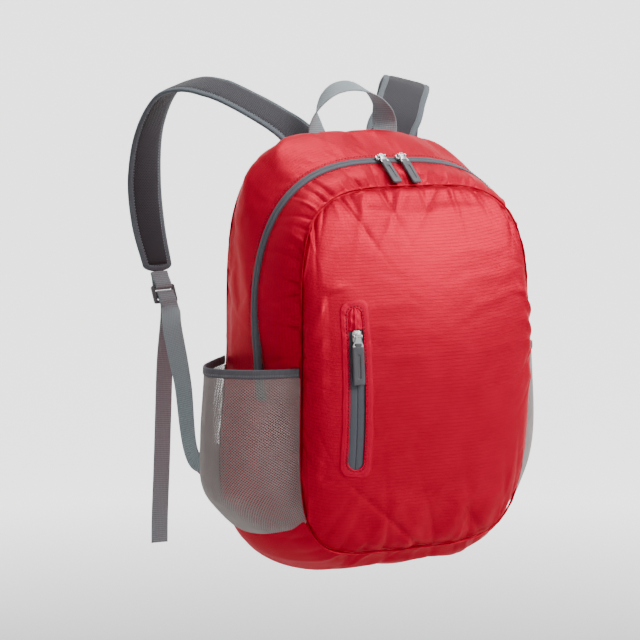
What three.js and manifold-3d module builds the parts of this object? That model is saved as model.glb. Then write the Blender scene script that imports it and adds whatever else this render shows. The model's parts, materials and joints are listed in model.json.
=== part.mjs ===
// A light packable backpack: a thin ripstop shell with a two-way main zip, a zipped front pocket,
// two mesh side pockets, a webbing haul loop and two padded shoulder straps.
// Millimetres, +Z up. The origin is on the outer face of the back panel, at its centre, where it lies
// against the wearer's back. +Y points to the wearer, the front panel faces -Y and +X is the wearer's
// right.
// The straps keep the shape that they take over a pair of shoulders.
import * as THREE from "three";
import Module from "manifold-3d";
import { mergeVertices } from "three/addons/utils/BufferGeometryUtils.js";

const wasm = await Module();
wasm.setup();

// Cloth
const cloth = 1.5; // wall of the shell panels
const netWall = 1.2; // wall of the mesh pockets
const seamGap = 0.3; // clearance between pieces that are sewn together

// Bag
const bagWidth = 308; // widest, across the side panels
const bagTop = 208; // from the origin up to the top of the bag
const bagBase = 230; // from the origin down to the underside
const bagDepth = 130; // from the back seam to the front seam, at the side
const frontBulge = 46; // how far the front panel bellies out past its seam
const loadSag = 26; // how far the lower left corner is dragged out
const gatherHeight = 2.2; // gathers along the top of the front seam
const gatherReach = 22; // how far a gather runs from the seam
const gatherPitch = 30; // from one gather to the next
const foldHeight = 5; // the tallest drag fold

// Main zip
const zipWidth = 9;
const toothHeight = 0.5; // of the zip's raised middle above its edges
const zipAt = 0.6; // share of the gusset's depth where the zip runs
const zipBend = 0.08; // how far forward the zip bends at its two ends, as the same share
const zipEnd = 1.15; // where the zip ends, in quarters round the bag from the top centre
const sliderPlaces = { left: -8, right: 15 }; // across the bag from its centre line

// Front pocket
const slotWidth = 16;
const slotLength = 163;
const slotCut = 12; // how far the slot's cutter reaches on each side of the panel
const weltWidth = 8; // of the raised ring of cloth round the slot
const weltWall = 1.2;
const tapeSink = 0.4; // how far the edges of the pocket's zip lie under the panel's face
const tapeRise = 0.1; // how far its middle stands above that face
const slotAcross = 0.25; // centre of the slot, as a share of the panel from its left edge
const slotDown = 0.546; // and from its top edge
const garageLength = 18; // of the hood over the closed slider
const garageWall = 1.5;
const garageLift = 1.6; // height of the hood's crown
const flatMargin = 8; // how far from the pocket's welt the panel's folds end

// Side pockets
const pocketBottom = 1.55; // quarters round the bag
const hemHeight = 9;
const hemWall = 1.7;
const pockets = {
  left: { mouth: 1.08, bulge: 41, open: 0.97 }, // open is the share of the bulge at the mouth
  right: { mouth: 1.05, bulge: 20, open: 0.4 },
};

// Zip sliders and their pulls. A slider's bar lies across it, between two posts.
const sliderLength = 12;
const sliderWidth = 8;
const sliderHeight = 2.3;
const sliderLift = 0.7; // of its underside above the tape's edge
const barRadius = 0.7;
const barSpan = 6.4; // between the posts' inner faces
const postWall = 1.3;
const knuckleRadius = 1.7;
const pullClearance = 0.35;
const pullLength = 11;
const pullWall = 1.1;
const gripWall = 2.2;
const gripHold = 4; // length of the pull inside the grip
const restGap = 1; // between a hanging grip and the cloth under it
const gripBeyond = 13; // how far past the grip's end it still keeps clear of the cloth
const mainGrip = { length: 35, width: 10 };
const pocketGrip = { length: 40, width: 12 };

// Webbing and straps
const haulWidth = 25;
const webbingWidth = 20;
const webbingWall = 1.6;
const haulSpan = 78; // between the feet of the haul loop
const haulRise = 54; // above the strap seam
const strapWidth = 52;
const strapWall = 6;
const bindingWidth = 7.5;
const bindingWall = 4.6;
const strapDrop = 18; // from the top of the bag down to the seam that holds the straps
const strapRise = 63; // from that seam up to the crest over the shoulder
const strapReach = 190; // how far the straps run forward round the wearer
const strapSpread = 150; // from the centre line to the straps' lower ends
const rightLean = 10; // how much further out the right strap lies
const wingReach = 26; // how far the side tabs stand out
const wingHeight = 52;
const wingPlace = 1.42; // quarters round the back seam to the middle of a side tab
const wingWall = 1.5;
const buckleWidth = 28;
const buckleWall = 4;
const buckleBar = 3; // height of each of its three bars
const buckleSlot = 5.6; // height of each of its two slots
const keeperLength = 15; // from the pad's end to the buckle
const tailLead = 7; // how far past the buckle the webbing's tail still lies on it
const tailLift = 1.4; // how far the tail has then come off the webbing under it

const strapFoot = bagTop - strapDrop;
const strapSeat = 4 * seamGap + webbingWall + strapWall / 2;
const haulSeat = seamGap + webbingWall / 2;

const colours = {
  shell: 0xb51a26,
  front: 0xa81420,
  welt: 0xc41422,
  zip: 0x5c5f66,
  metal: 0xc9c9c6,
  grip: 0x5a5a5c,
  net: 0x8d8583,
  binding: 0x7d8890,
  foam: 0x4a484e,
  plastic: 0x3c3c40,
};

const vec = (x, y, z) => new THREE.Vector3(x, y, z);
const clamp01 = (x) => Math.min(1, Math.max(0, x));
const steps = (count) => Array.from({ length: count + 1 }, (_, k) => k / count);
const span = (from, to, count) => steps(count).map((k) => from + (to - from) * k);
const towards = (a, b, distance) => a.clone().add(b.clone().sub(a).setLength(distance));
const moved = (place, direction, distance) => place.clone().addScaledVector(direction, distance);
const crossed = (a, b) => a.clone().cross(b).normalize();
const turned4 = (s) => ((s % 4) + 4) % 4; // the same place round the bag, from 0 up to 4
const material = (colour, roughness = 0.6, metalness = 0) =>
  new THREE.MeshStandardMaterial({ color: colours[colour], roughness, metalness });

// A smooth curve through a table's values, with the mean of the slopes on both sides at each row.
function smooth(stations, values, at) {
  const last = stations.length - 1;
  const slope = (k) => (values[k + 1] - values[k]) / (stations[k + 1] - stations[k]);
  const tangent = (k) => (slope(Math.max(0, k - 1)) + slope(Math.min(last - 1, k))) / 2;
  let k = 0;
  while (k < last - 1 && at > stations[k + 1]) k++;
  const width = stations[k + 1] - stations[k];
  const x = (at - stations[k]) / width;
  return (
    (2 * x ** 3 - 3 * x ** 2 + 1) * values[k] +
    (x ** 3 - 2 * x ** 2 + x) * width * tangent(k) +
    (3 * x ** 2 - 2 * x ** 3) * values[k + 1] +
    (x ** 3 - x ** 2) * width * tangent(k + 1)
  );
}

// The shell's sections, from the back seam to the front seam. t is the place along the gusset. The depths
// are shares of bagDepth at the sides, top and base, and the others of half of bagWidth, of bagTop and of
// bagBase. Each corner has its own roundness, as the power of a superellipse.
const sectionColumns = [
  "t", "side", "top", "base", "half", "up", "down", "topLeft", "topRight", "baseLeft", "baseRight",
];
const sectionRows = [
  [0.0, 0.0, 0.0, 0.0, 0.955, 0.98, 0.915, 3.6, 2.8, 4.6, 4.0],
  [0.22, 0.22, 0.16, 0.22, 1.0, 1.0, 0.985, 3.5, 2.7, 4.6, 3.8],
  [0.6, 0.58, 0.54, 0.62, 1.0, 0.868, 1.0, 2.8, 3.1, 4.4, 3.6],
  [0.82, 0.85, 0.7, 0.9, 0.93, 0.81, 0.955, 3.2, 3.6, 4.6, 3.5],
  [1.0, 1.0, 0.8, 1.07, 0.838, 0.75, 0.88, 3.6, 4.4, 6.0, 3.8],
];
const sections = Object.fromEntries(
  sectionColumns.map((name, k) => [name, sectionRows.map((row) => row[k])]),
);
const sectionAt = (t) =>
  Object.fromEntries(sectionColumns.slice(1).map((name) => [name, smooth(sections.t, sections[name], t)]));

// One quarter of a superellipse, from its top to its side, as a function of the share of its length.
function quarter(power, across, up) {
  const dense = 240;
  const points = span(0, Math.PI / 2, dense).map((a) => [
    across * Math.max(0, Math.sin(a)) ** (2 / power),
    up * Math.max(0, Math.cos(a)) ** (2 / power),
  ]);
  const lengths = [0];
  for (let k = 1; k <= dense; k++) {
    const step = [points[k][0] - points[k - 1][0], points[k][1] - points[k - 1][1]];
    lengths.push(lengths[k - 1] + Math.hypot(...step));
  }
  return (share) => {
    const target = clamp01(share) * lengths[dense];
    let k = 1;
    while (k < dense && lengths[k] < target) k++;
    const f = (target - lengths[k - 1]) / (lengths[k] - lengths[k - 1]);
    return points[k].map((value, axis) => points[k - 1][axis] + f * (value - points[k - 1][axis]));
  };
}

// The closed outline of the shell at t, as a function of the quarters travelled from the top centre:
// 0 is the top, 1 the wearer's right, 2 the underside and 3 the left.
const outlines = new Map();
function outline(t) {
  if (outlines.has(t)) return outlines.get(t);
  const row = sectionAt(t);
  const half = (row.half * bagWidth) / 2;
  const up = row.up * bagTop;
  const down = row.down * bagBase;
  const corners = [
    { curve: quarter(row.topRight, half, up), across: 1, height: 1, back: false },
    { curve: quarter(row.baseRight, half, down), across: 1, height: -1, back: true },
    { curve: quarter(row.baseLeft, half, down), across: -1, height: -1, back: false },
    { curve: quarter(row.topLeft, half, up), across: -1, height: 1, back: true },
  ];
  const at = (s) => {
    const turn = turned4(s);
    const k = Math.min(3, Math.floor(turn));
    const corner = corners[k];
    const share = turn - k;
    const [x, z] = corner.curve(corner.back ? 1 - share : share);
    const high = corner.height > 0 ? z / up : 0;
    const low = corner.height > 0 ? 0 : z / down;
    const depth = row.side + (row.top - row.side) * high ** 3 + (row.base - row.side) * low ** 3;
    const dragged = corner.across < 0 ? loadSag * (x / half) * low ** 1.5 * (1 - 0.8 * t) : 0;
    return vec(corner.across * x - dragged, -depth * bagDepth, corner.height * z);
  };
  outlines.set(t, at);
  return at;
}
const shellPoint = (s, t) => outline(t)(s);
const beyondSeam = 0.02; // half the t over which a normal is measured
const besideTurn = 0.01; // and half the quarters

function shellNormal(s, t) {
  const t0 = Math.max(0, t - beyondSeam);
  const t1 = Math.min(1, t + beyondSeam);
  const along = shellPoint(s + besideTurn, t).sub(shellPoint(s - besideTurn, t));
  const across = shellPoint(s, t1).sub(shellPoint(s, t0));
  return across.cross(along).normalize();
}

// A seam's corner is mitred: both panels take the mean of their two normals there.
const toBack = vec(0, 1, 0);
const toFront = vec(0, -1, 0);
const backSeamNormal = (s) => shellNormal(s, 0).add(toBack).normalize();
const frontSeamNormal = (s) => shellNormal(s, 1).add(toFront).normalize();

// Folds and dents of the gusset: where they start and end, in quarters and t, how wide they are as a share
// of bagDepth, and their height as a share of foldHeight. A negative height is a dent.
const gussetFoldColumns = ["s0", "t0", "s1", "t1", "wide", "high"];
const gussetFolds = [
  [3.78, 0.02, 3.62, 0.4, 0.08, 0.5],
  [3.66, 0.02, 3.45, 0.3, 0.08, 0.45],
  [0.24, 0.02, 0.34, 0.42, 0.08, 0.5],
  [3.36, 0.05, 3.16, 0.4, 0.1, -0.5],
  [2.34, 0.15, 2.2, 0.8, 0.1, 0.6],
  [2.3, 0.1, 2.06, 0.5, 0.09, -0.5],
  [1.66, 0.2, 1.84, 0.8, 0.1, 0.6],
  [1.86, 0.15, 2.02, 0.7, 0.09, 0.4],
  [2.9, 0.5, 2.7, 0.5, 0.3, -2.0],
].map((row) => Object.fromEntries(gussetFoldColumns.map((name, k) => [name, row[k]])));

// Height of a fold at a point: a rounded ridge along the line from its start to its end, lower at both.
const endHeight = 0.35;
function ridge(p, start, end, wide) {
  const line = [end[0] - start[0], end[1] - start[1]];
  const square = line[0] ** 2 + line[1] ** 2;
  const along = clamp01(((p[0] - start[0]) * line[0] + (p[1] - start[1]) * line[1]) / square);
  const away = Math.hypot(p[0] - start[0] - along * line[0], p[1] - start[1] - along * line[1]);
  const arch = Math.sin(Math.PI * (0.15 + 0.7 * along));
  return Math.exp(-((away / wide) ** 2)) * (endHeight + (1 - endHeight) * arch);
}
const quarterLength = (bagWidth / 2 + bagTop) * 0.85; // near enough to one quarter of the outline
const fadeShare = 0.12; // of the gusset's depth, over which the folds die away at a seam
const edgeFade = (t) => clamp01(Math.min(t, 1 - t) / fadeShare);
const gussetRelief = (s, t) =>
  gussetFolds.reduce((sum, f) => {
    const here = [s * quarterLength, t * bagDepth];
    const start = [f.s0 * quarterLength, f.t0 * bagDepth];
    const end = [f.s1 * quarterLength, f.t1 * bagDepth];
    return sum + f.high * foldHeight * ridge(here, start, end, f.wide * bagDepth);
  }, 0) * edgeFade(t);

// Gathers beside the front seam, tallest at the top of the bag. place is in quarters from the top centre.
const gathersEnd = 1.05; // in the same quarters, and the stretch before it over which they grow lower
const gathersFade = 0.5;
const gatherStart = 5; // from the seam to a gather's full height
function gathers(place, distance) {
  const round = clamp01((gathersEnd - Math.abs(place)) / gathersFade);
  const fade = round * Math.exp(-distance / gatherReach) * clamp01(distance / gatherStart);
  return gatherHeight * fade * Math.cos((2 * Math.PI * place * quarterLength) / gatherPitch);
}

function gussetPoint(s, t) {
  const turn = turned4(s);
  const place = turn > 2 ? turn - 4 : turn;
  const relief = gussetRelief(turn, t) + gathers(place, (1 - t) * bagDepth);
  return moved(shellPoint(s, t), shellNormal(s, t), relief);
}

// Points to a BufferGeometry whose faces point outwards.
function solid(points, faces) {
  let volume = 0;
  for (let k = 0; k < faces.length; k += 3) {
    const [a, b, c] = [points[faces[k]], points[faces[k + 1]], points[faces[k + 2]]];
    volume += a.dot(b.clone().cross(c));
  }
  if (volume < 0) faces.reverse();
  const geometry = new THREE.BufferGeometry();
  const numbers = points.flatMap((p) => p.toArray());
  geometry.setAttribute("position", new THREE.Float32BufferAttribute(numbers, 3));
  geometry.setIndex(faces);
  return geometry;
}

// A closed solid between two facing grids of points, as a panel of cloth is. A ring closes on itself.
function sheet(outer, inner, ring = false) {
  const columns = outer.length;
  const rows = outer[0].length;
  const top = (i, j) => (i % columns) * rows + j;
  const under = (i, j) => columns * rows + top(i, j);
  const faces = [];
  const quad = (a, b, c, d) => faces.push(a, b, c, a, c, d);
  const lastRow = rows - 1;
  const lastColumn = columns - 1;
  for (let i = 0; i < (ring ? columns : lastColumn); i++) {
    for (let j = 0; j < lastRow; j++) {
      quad(top(i, j), top(i + 1, j), top(i + 1, j + 1), top(i, j + 1));
      quad(under(i, j), under(i, j + 1), under(i + 1, j + 1), under(i + 1, j));
    }
    quad(top(i + 1, 0), top(i, 0), under(i, 0), under(i + 1, 0));
    quad(top(i, lastRow), top(i + 1, lastRow), under(i + 1, lastRow), under(i, lastRow));
  }
  if (!ring)
    for (let j = 0; j < lastRow; j++) {
      quad(top(0, j), top(0, j + 1), under(0, j + 1), under(0, j));
      quad(top(lastColumn, j + 1), top(lastColumn, j), under(lastColumn, j), under(lastColumn, j + 1));
    }
  return solid([...outer.flat(), ...inner.flat()], faces);
}
const offset = (grid, normals, distance) =>
  grid.map((column, i) => column.map((p, j) => moved(p, normals[i][j], distance)));

// A strip of the gusset from column to column, between two edges that are points of the shell. rows are the
// t values between them, and the edges keep half a seam gap to the seam or to the zip.
function gussetStrip(columns, rows, firstEdge, lastEdge) {
  const outer = columns.map((s) => [firstEdge(s), ...rows.map((t) => gussetPoint(s, t)), lastEdge(s)]);
  const ends = [rows[0], rows[rows.length - 1]];
  const normals = columns.map((s) => [
    firstEdge.normal ? firstEdge.normal(s) : shellNormal(s, ends[0]),
    ...rows.map((t) => shellNormal(s, t)),
    lastEdge.normal ? lastEdge.normal(s) : shellNormal(s, ends[1]),
  ]);
  return sheet(outer, offset(outer, normals, -cloth));
}
const inwards = 0.05; // the t towards which an edge is moved off its seam
const backEdge = (s) => towards(shellPoint(s, 0), shellPoint(s, inwards), seamGap / 2);
backEdge.normal = backSeamNormal;
const frontEdge = (s) => towards(shellPoint(s, 1), shellPoint(s, 1 - inwards), seamGap / 2);
frontEdge.normal = frontSeamNormal;
const bendStart = 0.75; // quarters from the top centre to where the zip starts to bend forward
const zipLine = (s) => zipAt + zipBend * clamp01((Math.abs(s) - bendStart) / (zipEnd - bendStart)) ** 2;
const besideZip = 0.06; // the t over which a distance from the zip is measured
const zipSide = (side, distance) => {
  const edge = (s) =>
    towards(shellPoint(s, zipLine(s)), shellPoint(s, zipLine(s) + side * besideZip), distance);
  edge.normal = (s) => shellNormal(s, zipLine(s));
  return edge;
};

const topColumns = (count) => span(-zipEnd, zipEnd, count);
const endGap = seamGap / quarterLength;

function rearGusset() {
  return gussetStrip(topColumns(36), [0.12, 0.26, 0.42], backEdge, zipSide(-1, zipWidth / 2 + seamGap));
}
function frontGusset() {
  return gussetStrip(topColumns(54), [0.78, 0.88], zipSide(1, zipWidth / 2 + seamGap), frontEdge);
}
function mainZipTape() {
  const columns = topColumns(36);
  const across = [-0.5, -0.12, 0.12, 0.5].map((k) => k * zipWidth);
  const level = [0, toothHeight, toothHeight, 0];
  const outer = columns.map((s) =>
    across.map((distance, k) => {
      const place = zipSide(Math.sign(distance), Math.abs(distance))(s);
      return moved(place, shellNormal(s, zipLine(s)), level[k]);
    }),
  );
  const normals = columns.map((s) => across.map(() => shellNormal(s, zipLine(s))));
  return sheet(outer, offset(outer, normals, -cloth));
}

// The lower gusset runs round the underside from one end of the zip to the other. Its columns are shared
// with the side pockets, so that the two stay the same distance apart on every facet.
const gussetRows = [0.1, 0.24, 0.4, 0.56, 0.72, 0.87];
const mouthColumns = (side) => span(pockets[side].mouth, pocketBottom, 8);
const mirrored = (s) => 4 - s;
const shortest = 0.02; // quarters of the shortest facet
function baseGusset() {
  const half = (side) => [zipEnd + endGap, ...mouthColumns(side).filter((s) => s > zipEnd + shortest)];
  const right = half("right");
  const left = half("left").map(mirrored).reverse();
  const under = span(pocketBottom, mirrored(pocketBottom), 20).slice(1, -1);
  return gussetStrip([...right, ...under, ...left], gussetRows, backEdge, frontEdge);
}

// A grid over the area inside the outline at t, with its four corners in the outline's own corners.
const gridCorners = { topRight: 0.62, baseRight: 1.42, baseLeft: 2.58, topLeft: 3.38 };
const between = (from, to, share) => from + (to - from) * share;
function insidePoint(edge, u, v) {
  const { topRight, baseRight, baseLeft, topLeft } = gridCorners;
  const top = (k) => edge(between(topLeft - 4, topRight, k));
  const base = (k) => edge(between(baseLeft, baseRight, k));
  const left = (k) => edge(between(topLeft, baseLeft, k));
  const right = (k) => edge(between(topRight, baseRight, k));
  const sum = vec(0, 0, 0);
  sum.addScaledVector(top(u), 1 - v).addScaledVector(base(u), v);
  sum.addScaledVector(left(v), 1 - u).addScaledVector(right(v), u);
  const twice = [
    [top(0), (1 - u) * (1 - v)],
    [top(1), u * (1 - v)],
    [base(0), (1 - u) * v],
    [base(1), u * v],
  ];
  return twice.reduce((rest, [corner, share]) => rest.addScaledVector(corner, -share), sum);
}
// The quarters travelled at a point of the grid's rim, or null inside it.
function rimPlace(u, v) {
  const { topRight, baseRight, baseLeft, topLeft } = gridCorners;
  if (v === 0) return between(topLeft - 4, topRight, u);
  if (v === 1) return between(baseLeft, baseRight, u);
  if (u === 0) return between(topLeft, baseLeft, v);
  if (u === 1) return between(topRight, baseRight, v);
  return null;
}

// Folds of the front panel, as shares of the panel from its left and top edges.
const panelFoldColumns = ["u0", "v0", "u1", "v1", "wide", "high"];
const panelFolds = [
  [0.02, 0.42, 0.19, 0.28, 0.03, 0.8],
  [0.0, 0.5, 0.17, 0.42, 0.03, 0.6],
  [0.01, 0.61, 0.15, 0.53, 0.03, 0.45],
  [0.03, 0.93, 0.14, 0.78, 0.03, 0.5],
  [0.34, 0.99, 0.38, 0.86, 0.03, 0.8],
  [0.45, 0.99, 0.46, 0.88, 0.025, 0.7],
  [0.56, 0.99, 0.6, 0.88, 0.025, 0.6],
  [0.7, 0.98, 0.7, 0.9, 0.025, 0.5],
  [0.99, 0.38, 0.9, 0.3, 0.025, 0.5],
  [0.99, 0.47, 0.9, 0.4, 0.025, 0.6],
  [0.99, 0.56, 0.91, 0.49, 0.025, 0.5],
  [0.99, 0.65, 0.91, 0.59, 0.025, 0.4],
].map((row) => Object.fromEntries(panelFoldColumns.map((name, k) => [name, row[k]])));

const frontInset = (s) => {
  const seam = shellPoint(s, 1);
  return towards(seam, vec(0, seam.y, 0), 1.5 * seamGap);
};
const panelWidth = 2 * shellPoint(1, 1).x;
const panelHeight = shellPoint(0, 1).z - shellPoint(2, 1).z;

const rimShare = 0.03; // of the panel, over which the folds die away at its seams
function panelRelief(u, v) {
  const here = [u * panelWidth, v * panelHeight];
  let relief = 0;
  for (const f of panelFolds) {
    const start = [f.u0 * panelWidth, f.v0 * panelHeight];
    const end = [f.u1 * panelWidth, f.v1 * panelHeight];
    relief += f.high * foldHeight * ridge(here, start, end, f.wide * panelHeight);
  }
  const beside = Math.abs(u - slotAcross) * panelWidth - slotWidth / 2 - weltWidth;
  const beyond = Math.abs(v - slotDown) * panelHeight - slotLength / 2 - weltWidth;
  relief *= clamp01(Math.min(u, 1 - u, v, 1 - v) / rimShare);
  relief *= clamp01((Math.max(beside, beyond) - flatMargin) / flatMargin);
  return relief + gathers(between(gridCorners.topLeft - 4, gridCorners.topRight, u), v * panelHeight);
}
// The panel bellies out like a dome, more below its middle than above it.
const domeSoftness = 0.75;
function panelPoint(u, v, folded = true) {
  const point = insidePoint(frontInset, u, v);
  const dome = ((1 - (2 * u - 1) ** 2) * (1 - (2 * v - 1) ** 2)) ** domeSoftness * (0.75 + 0.5 * v);
  point.y -= dome * frontBulge + (folded ? panelRelief(u, v) : 0);
  return point;
}
function panelNormal(u, v) {
  const d = 0.02; // half the share over which the normal is measured
  const across = panelPoint(Math.min(1, u + d), v, false).sub(panelPoint(Math.max(0, u - d), v, false));
  const down = panelPoint(u, Math.min(1, v + d), false).sub(panelPoint(u, Math.max(0, v - d), false));
  return down.cross(across).normalize();
}

const toManifold = (geometry) => {
  const bare = new THREE.BufferGeometry();
  bare.setAttribute("position", geometry.getAttribute("position").clone());
  if (geometry.index) bare.setIndex(geometry.index.clone());
  const merged = mergeVertices(bare, 1e-4);
  return new wasm.Manifold(
    new wasm.Mesh({
      numProp: 3,
      vertProperties: new Float32Array(merged.attributes.position.array),
      triVerts: new Uint32Array(merged.index.array),
    }),
  );
};
const fromManifold = (made) => {
  const mesh = made.getMesh();
  const geometry = new THREE.BufferGeometry();
  geometry.setAttribute("position", new THREE.BufferAttribute(new Float32Array(mesh.vertProperties), 3));
  geometry.setIndex(new THREE.BufferAttribute(new Uint32Array(mesh.triVerts), 1));
  return geometry;
};
const joined = (...geometries) =>
  fromManifold(geometries.map(toManifold).reduce((sum, next) => sum.add(next)));
const cut = (geometry, ...tools) =>
  fromManifold(tools.map(toManifold).reduce((rest, tool) => rest.subtract(tool), toManifold(geometry)));

// A stadium: a slot shape with round ends, standing up, centred on the origin of its plane.
function stadium(width, length, ends = 5, sides = 9) {
  const radius = width / 2;
  const straight = length / 2 - radius;
  const arc = (from, lift) =>
    span(from, from + Math.PI, ends).map((a) => [radius * Math.cos(a), lift + radius * Math.sin(a)]);
  const side = (x, hand) =>
    span(hand * straight, -hand * straight, sides)
      .slice(1, -1)
      .map((y) => [x, y]);
  return [...arc(0, straight), ...side(-radius, 1), ...arc(Math.PI, -straight), ...side(radius, -1)];
}
// A place beside the front pocket's slot, in millimetres right and up from its centre and off the panel.
const nearSlot = 0.02;
const slotCentre = panelPoint(slotAcross, slotDown, false);
const slotSpread = {
  across: slotCentre.distanceTo(panelPoint(slotAcross + nearSlot, slotDown, false)) / nearSlot,
  down: slotCentre.distanceTo(panelPoint(slotAcross, slotDown + nearSlot, false)) / nearSlot,
};
const slotPoint = ([right, up], height) => {
  const u = slotAcross + right / slotSpread.across;
  const v = slotDown - up / slotSpread.down;
  return moved(panelPoint(u, v, false), panelNormal(u, v), height);
};

function frontPanel() {
  const us = steps(20);
  const vs = steps(20);
  const outer = us.map((u) => vs.map((v) => panelPoint(u, v)));
  const normals = us.map((u) =>
    vs.map((v) => {
      const rim = rimPlace(u, v);
      return rim === null ? panelNormal(u, v) : frontSeamNormal(rim);
    }),
  );
  const panel = sheet(outer, offset(outer, normals, -cloth));
  const rim = stadium(slotWidth, slotLength);
  return cut(panel, prism(rim.map((place) => [slotPoint(place, slotCut), slotPoint(place, -slotCut)])));
}
// A closed prism from a ring of [near, far] pairs.
function prism(pairs) {
  const count = pairs.length;
  const points = [...pairs.map((p) => p[0]), ...pairs.map((p) => p[1])];
  const faces = [];
  for (let k = 0; k < count; k++) {
    const next = (k + 1) % count;
    faces.push(k, next, count + next, k, count + next, count + k);
    if (k > 0 && k < count - 1) faces.push(0, k + 1, k, count, count + k, count + k + 1);
  }
  return solid(points, faces);
}

// A raised ring of cloth round the slot.
function pocketWelt() {
  const ends = 7;
  const inner = stadium(slotWidth, slotLength, ends);
  const outer = stadium(slotWidth + 2 * weltWidth, slotLength + 2 * weltWidth, ends);
  const level = (height) =>
    inner.map((place, k) => [place, outer[k]].map((edge) => slotPoint(edge, height)));
  return sheet(level(seamGap + weltWall), level(seamGap), true);
}
// Half the tape's width at a height in the slot: it narrows in the slot's round ends.
const tapeGap = seamGap + 0.2;
const tapeTop = slotLength / 2 - slotWidth * 0.25;
const narrowest = 2;
function tapeHalf(up) {
  const beyond = Math.max(0, Math.abs(up) - (slotLength - slotWidth) / 2);
  return Math.sqrt(Math.max(narrowest ** 2, (slotWidth / 2) ** 2 - beyond ** 2)) - tapeGap;
}
function pocketZipTape() {
  const places = span(-tapeTop, tapeTop, 14);
  const section = [
    [-1, -tapeSink],
    [-0.1, tapeRise],
    [0.1, tapeRise],
    [1, -tapeSink],
  ];
  const level = (drop) =>
    places.map((up) => section.map(([k, height]) => slotPoint([k * tapeHalf(up), up], height - drop)));
  return sheet(level(0), level(cloth));
}
// The hood over the closed slider, highest along its middle.
function pocketGarage() {
  const top = tapeTop - narrowest;
  const places = span(top, top - garageLength, 5);
  const half = (slotWidth / 2 - tapeGap) * 0.78;
  const arch = (k, lift) => lift * (garageLift - 0.6 * k * k) + tapeSink;
  const level = (lift) =>
    places.map((up) => [-1, -0.4, 0.4, 1].map((k) => slotPoint([k * half, up], arch(k, lift))));
  return sheet(level(garageWall), level(0));
}

function backPanel() {
  const us = steps(8);
  const vs = steps(10);
  const inset = (s) => towards(shellPoint(s, 0), vec(0, 0, 0), seamGap);
  const outer = us.map((u) => vs.map((v) => insidePoint(inset, u, v)));
  const normals = us.map((u) =>
    vs.map((v) => {
      const rim = rimPlace(u, v);
      return rim === null ? toBack : backSeamNormal(rim);
    }),
  );
  return sheet(outer, offset(outer, normals, -cloth));
}

// How far a pocket stands off the gusset, as shares of its bulge: across it from the back seam, and up it.
const acrossPocket = {
  t: [0.02, 0.12, 0.3, 0.5, 0.7, 0.86, 0.98],
  out: [0, 0.36, 0.86, 1, 0.72, 0.3, 0],
};
const upPocket = { share: [0, 0.12, 0.28, 0.6, 1], out: [0, 0.42, 0.88, 1] };
const pocketStandOff = (side, t, up) =>
  pockets[side].bulge *
  smooth(acrossPocket.t, acrossPocket.out, t) *
  smooth(upPocket.share, [...upPocket.out, pockets[side].open], up);
const pocketTurn = (side, s) => (side === "right" ? s : mirrored(s));
const netPoint = (side, s, t, up, height) => {
  const turn = pocketTurn(side, s);
  const out = vec(side === "right" ? 1 : -1, -0.12, 0).normalize();
  const seat = moved(shellPoint(turn, t), shellNormal(turn, t), height);
  return seat.addScaledVector(out, pocketStandOff(side, t, up));
};
const netRows = [0.02, ...gussetRows, 0.98];
function meshPocket(side) {
  const columns = mouthColumns(side);
  const share = (s) => (pocketBottom - s) / (pocketBottom - pockets[side].mouth);
  const level = (height) => columns.map((s) => netRows.map((t) => netPoint(side, s, t, share(s), height)));
  return sheet(level(2 * seamGap + netWall), level(2 * seamGap));
}
function pocketHem(side) {
  const top = pockets[side].mouth;
  const grid = (height) =>
    [0, 0.5, 1].map((k) => {
      const lift = vec(0, 0, seamGap + k * hemHeight);
      return netRows.map((t) => netPoint(side, top, t, 1, height).add(lift));
    });
  return sheet(grid(2 * seamGap + hemWall), grid(2 * seamGap));
}

// A band along frames {at, wide, thick}: a place and the unit directions of its width and thickness.
function band(frames, width, wall, closed = false) {
  const widthAt = typeof width === "function" ? width : () => width;
  const face = (side) =>
    frames.map((f, k) => {
      const half = widthAt(k / (frames.length - 1)) / 2;
      return [-half, half].map((w) => moved(f.at, f.wide, w).addScaledVector(f.thick, (side * wall) / 2));
    });
  return sheet(face(1), face(-1), closed);
}
// Frames along a smooth curve through rows of places and width directions.
function framesAlong(places, widths, count) {
  const curve = new THREE.CatmullRomCurve3(places, false, "centripetal");
  return steps(count).map((share) => {
    const at = curve.getPoint(share);
    const along = curve.getTangent(share);
    const k = Math.min(places.length - 2, Math.floor(share * (places.length - 1)));
    const f = share * (places.length - 1) - k;
    const wide = widths[k].clone().lerp(widths[k + 1], f);
    wide.addScaledVector(along, -wide.dot(along)).normalize();
    return { at, wide, thick: along.clone().cross(wide).normalize() };
  });
}

// The haul loop, as shares of half of haulSpan and of haulRise above the strap seam's height.
const haulRows = [
  [-1.0, 0.0, -0.45, 1, 0, 0],
  [-1.0, 0.012, 0.08, 1, 0, 0],
  [-1.04, 0.062, 0.42, 0.86, 0.5, 0.05],
  [-1.02, 0.06, 0.68, 0.5, 0.85, 0.12],
  [-0.84, 0.03, 0.92, 0.25, 0.95, 0.2],
  [-0.45, 0.03, 1.12, 0.1, 0.92, 0.35],
  [0.0, 0.03, 1.17, 0, 0.92, 0.38],
  [0.48, 0.03, 1.06, -0.1, 0.92, 0.3],
  [0.86, 0.02, 0.8, -0.3, 0.92, 0.15],
  [1.02, 0.055, 0.46, -0.86, 0.5, 0.05],
  [1.0, 0.008, 0.08, -1, 0, 0],
  [1.0, 0.0, -0.45, -1, 0, 0],
];
function haulLoop() {
  const places = haulRows.map(([x, y, z]) =>
    vec((x * haulSpan) / 2, haulSeat + y * haulSpan, strapFoot + z * haulRise),
  );
  const widths = haulRows.map((row) => vec(row[3], row[4], row[5]).normalize());
  return band(framesAlong(places, widths, 34), haulWidth, webbingWall);
}

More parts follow.
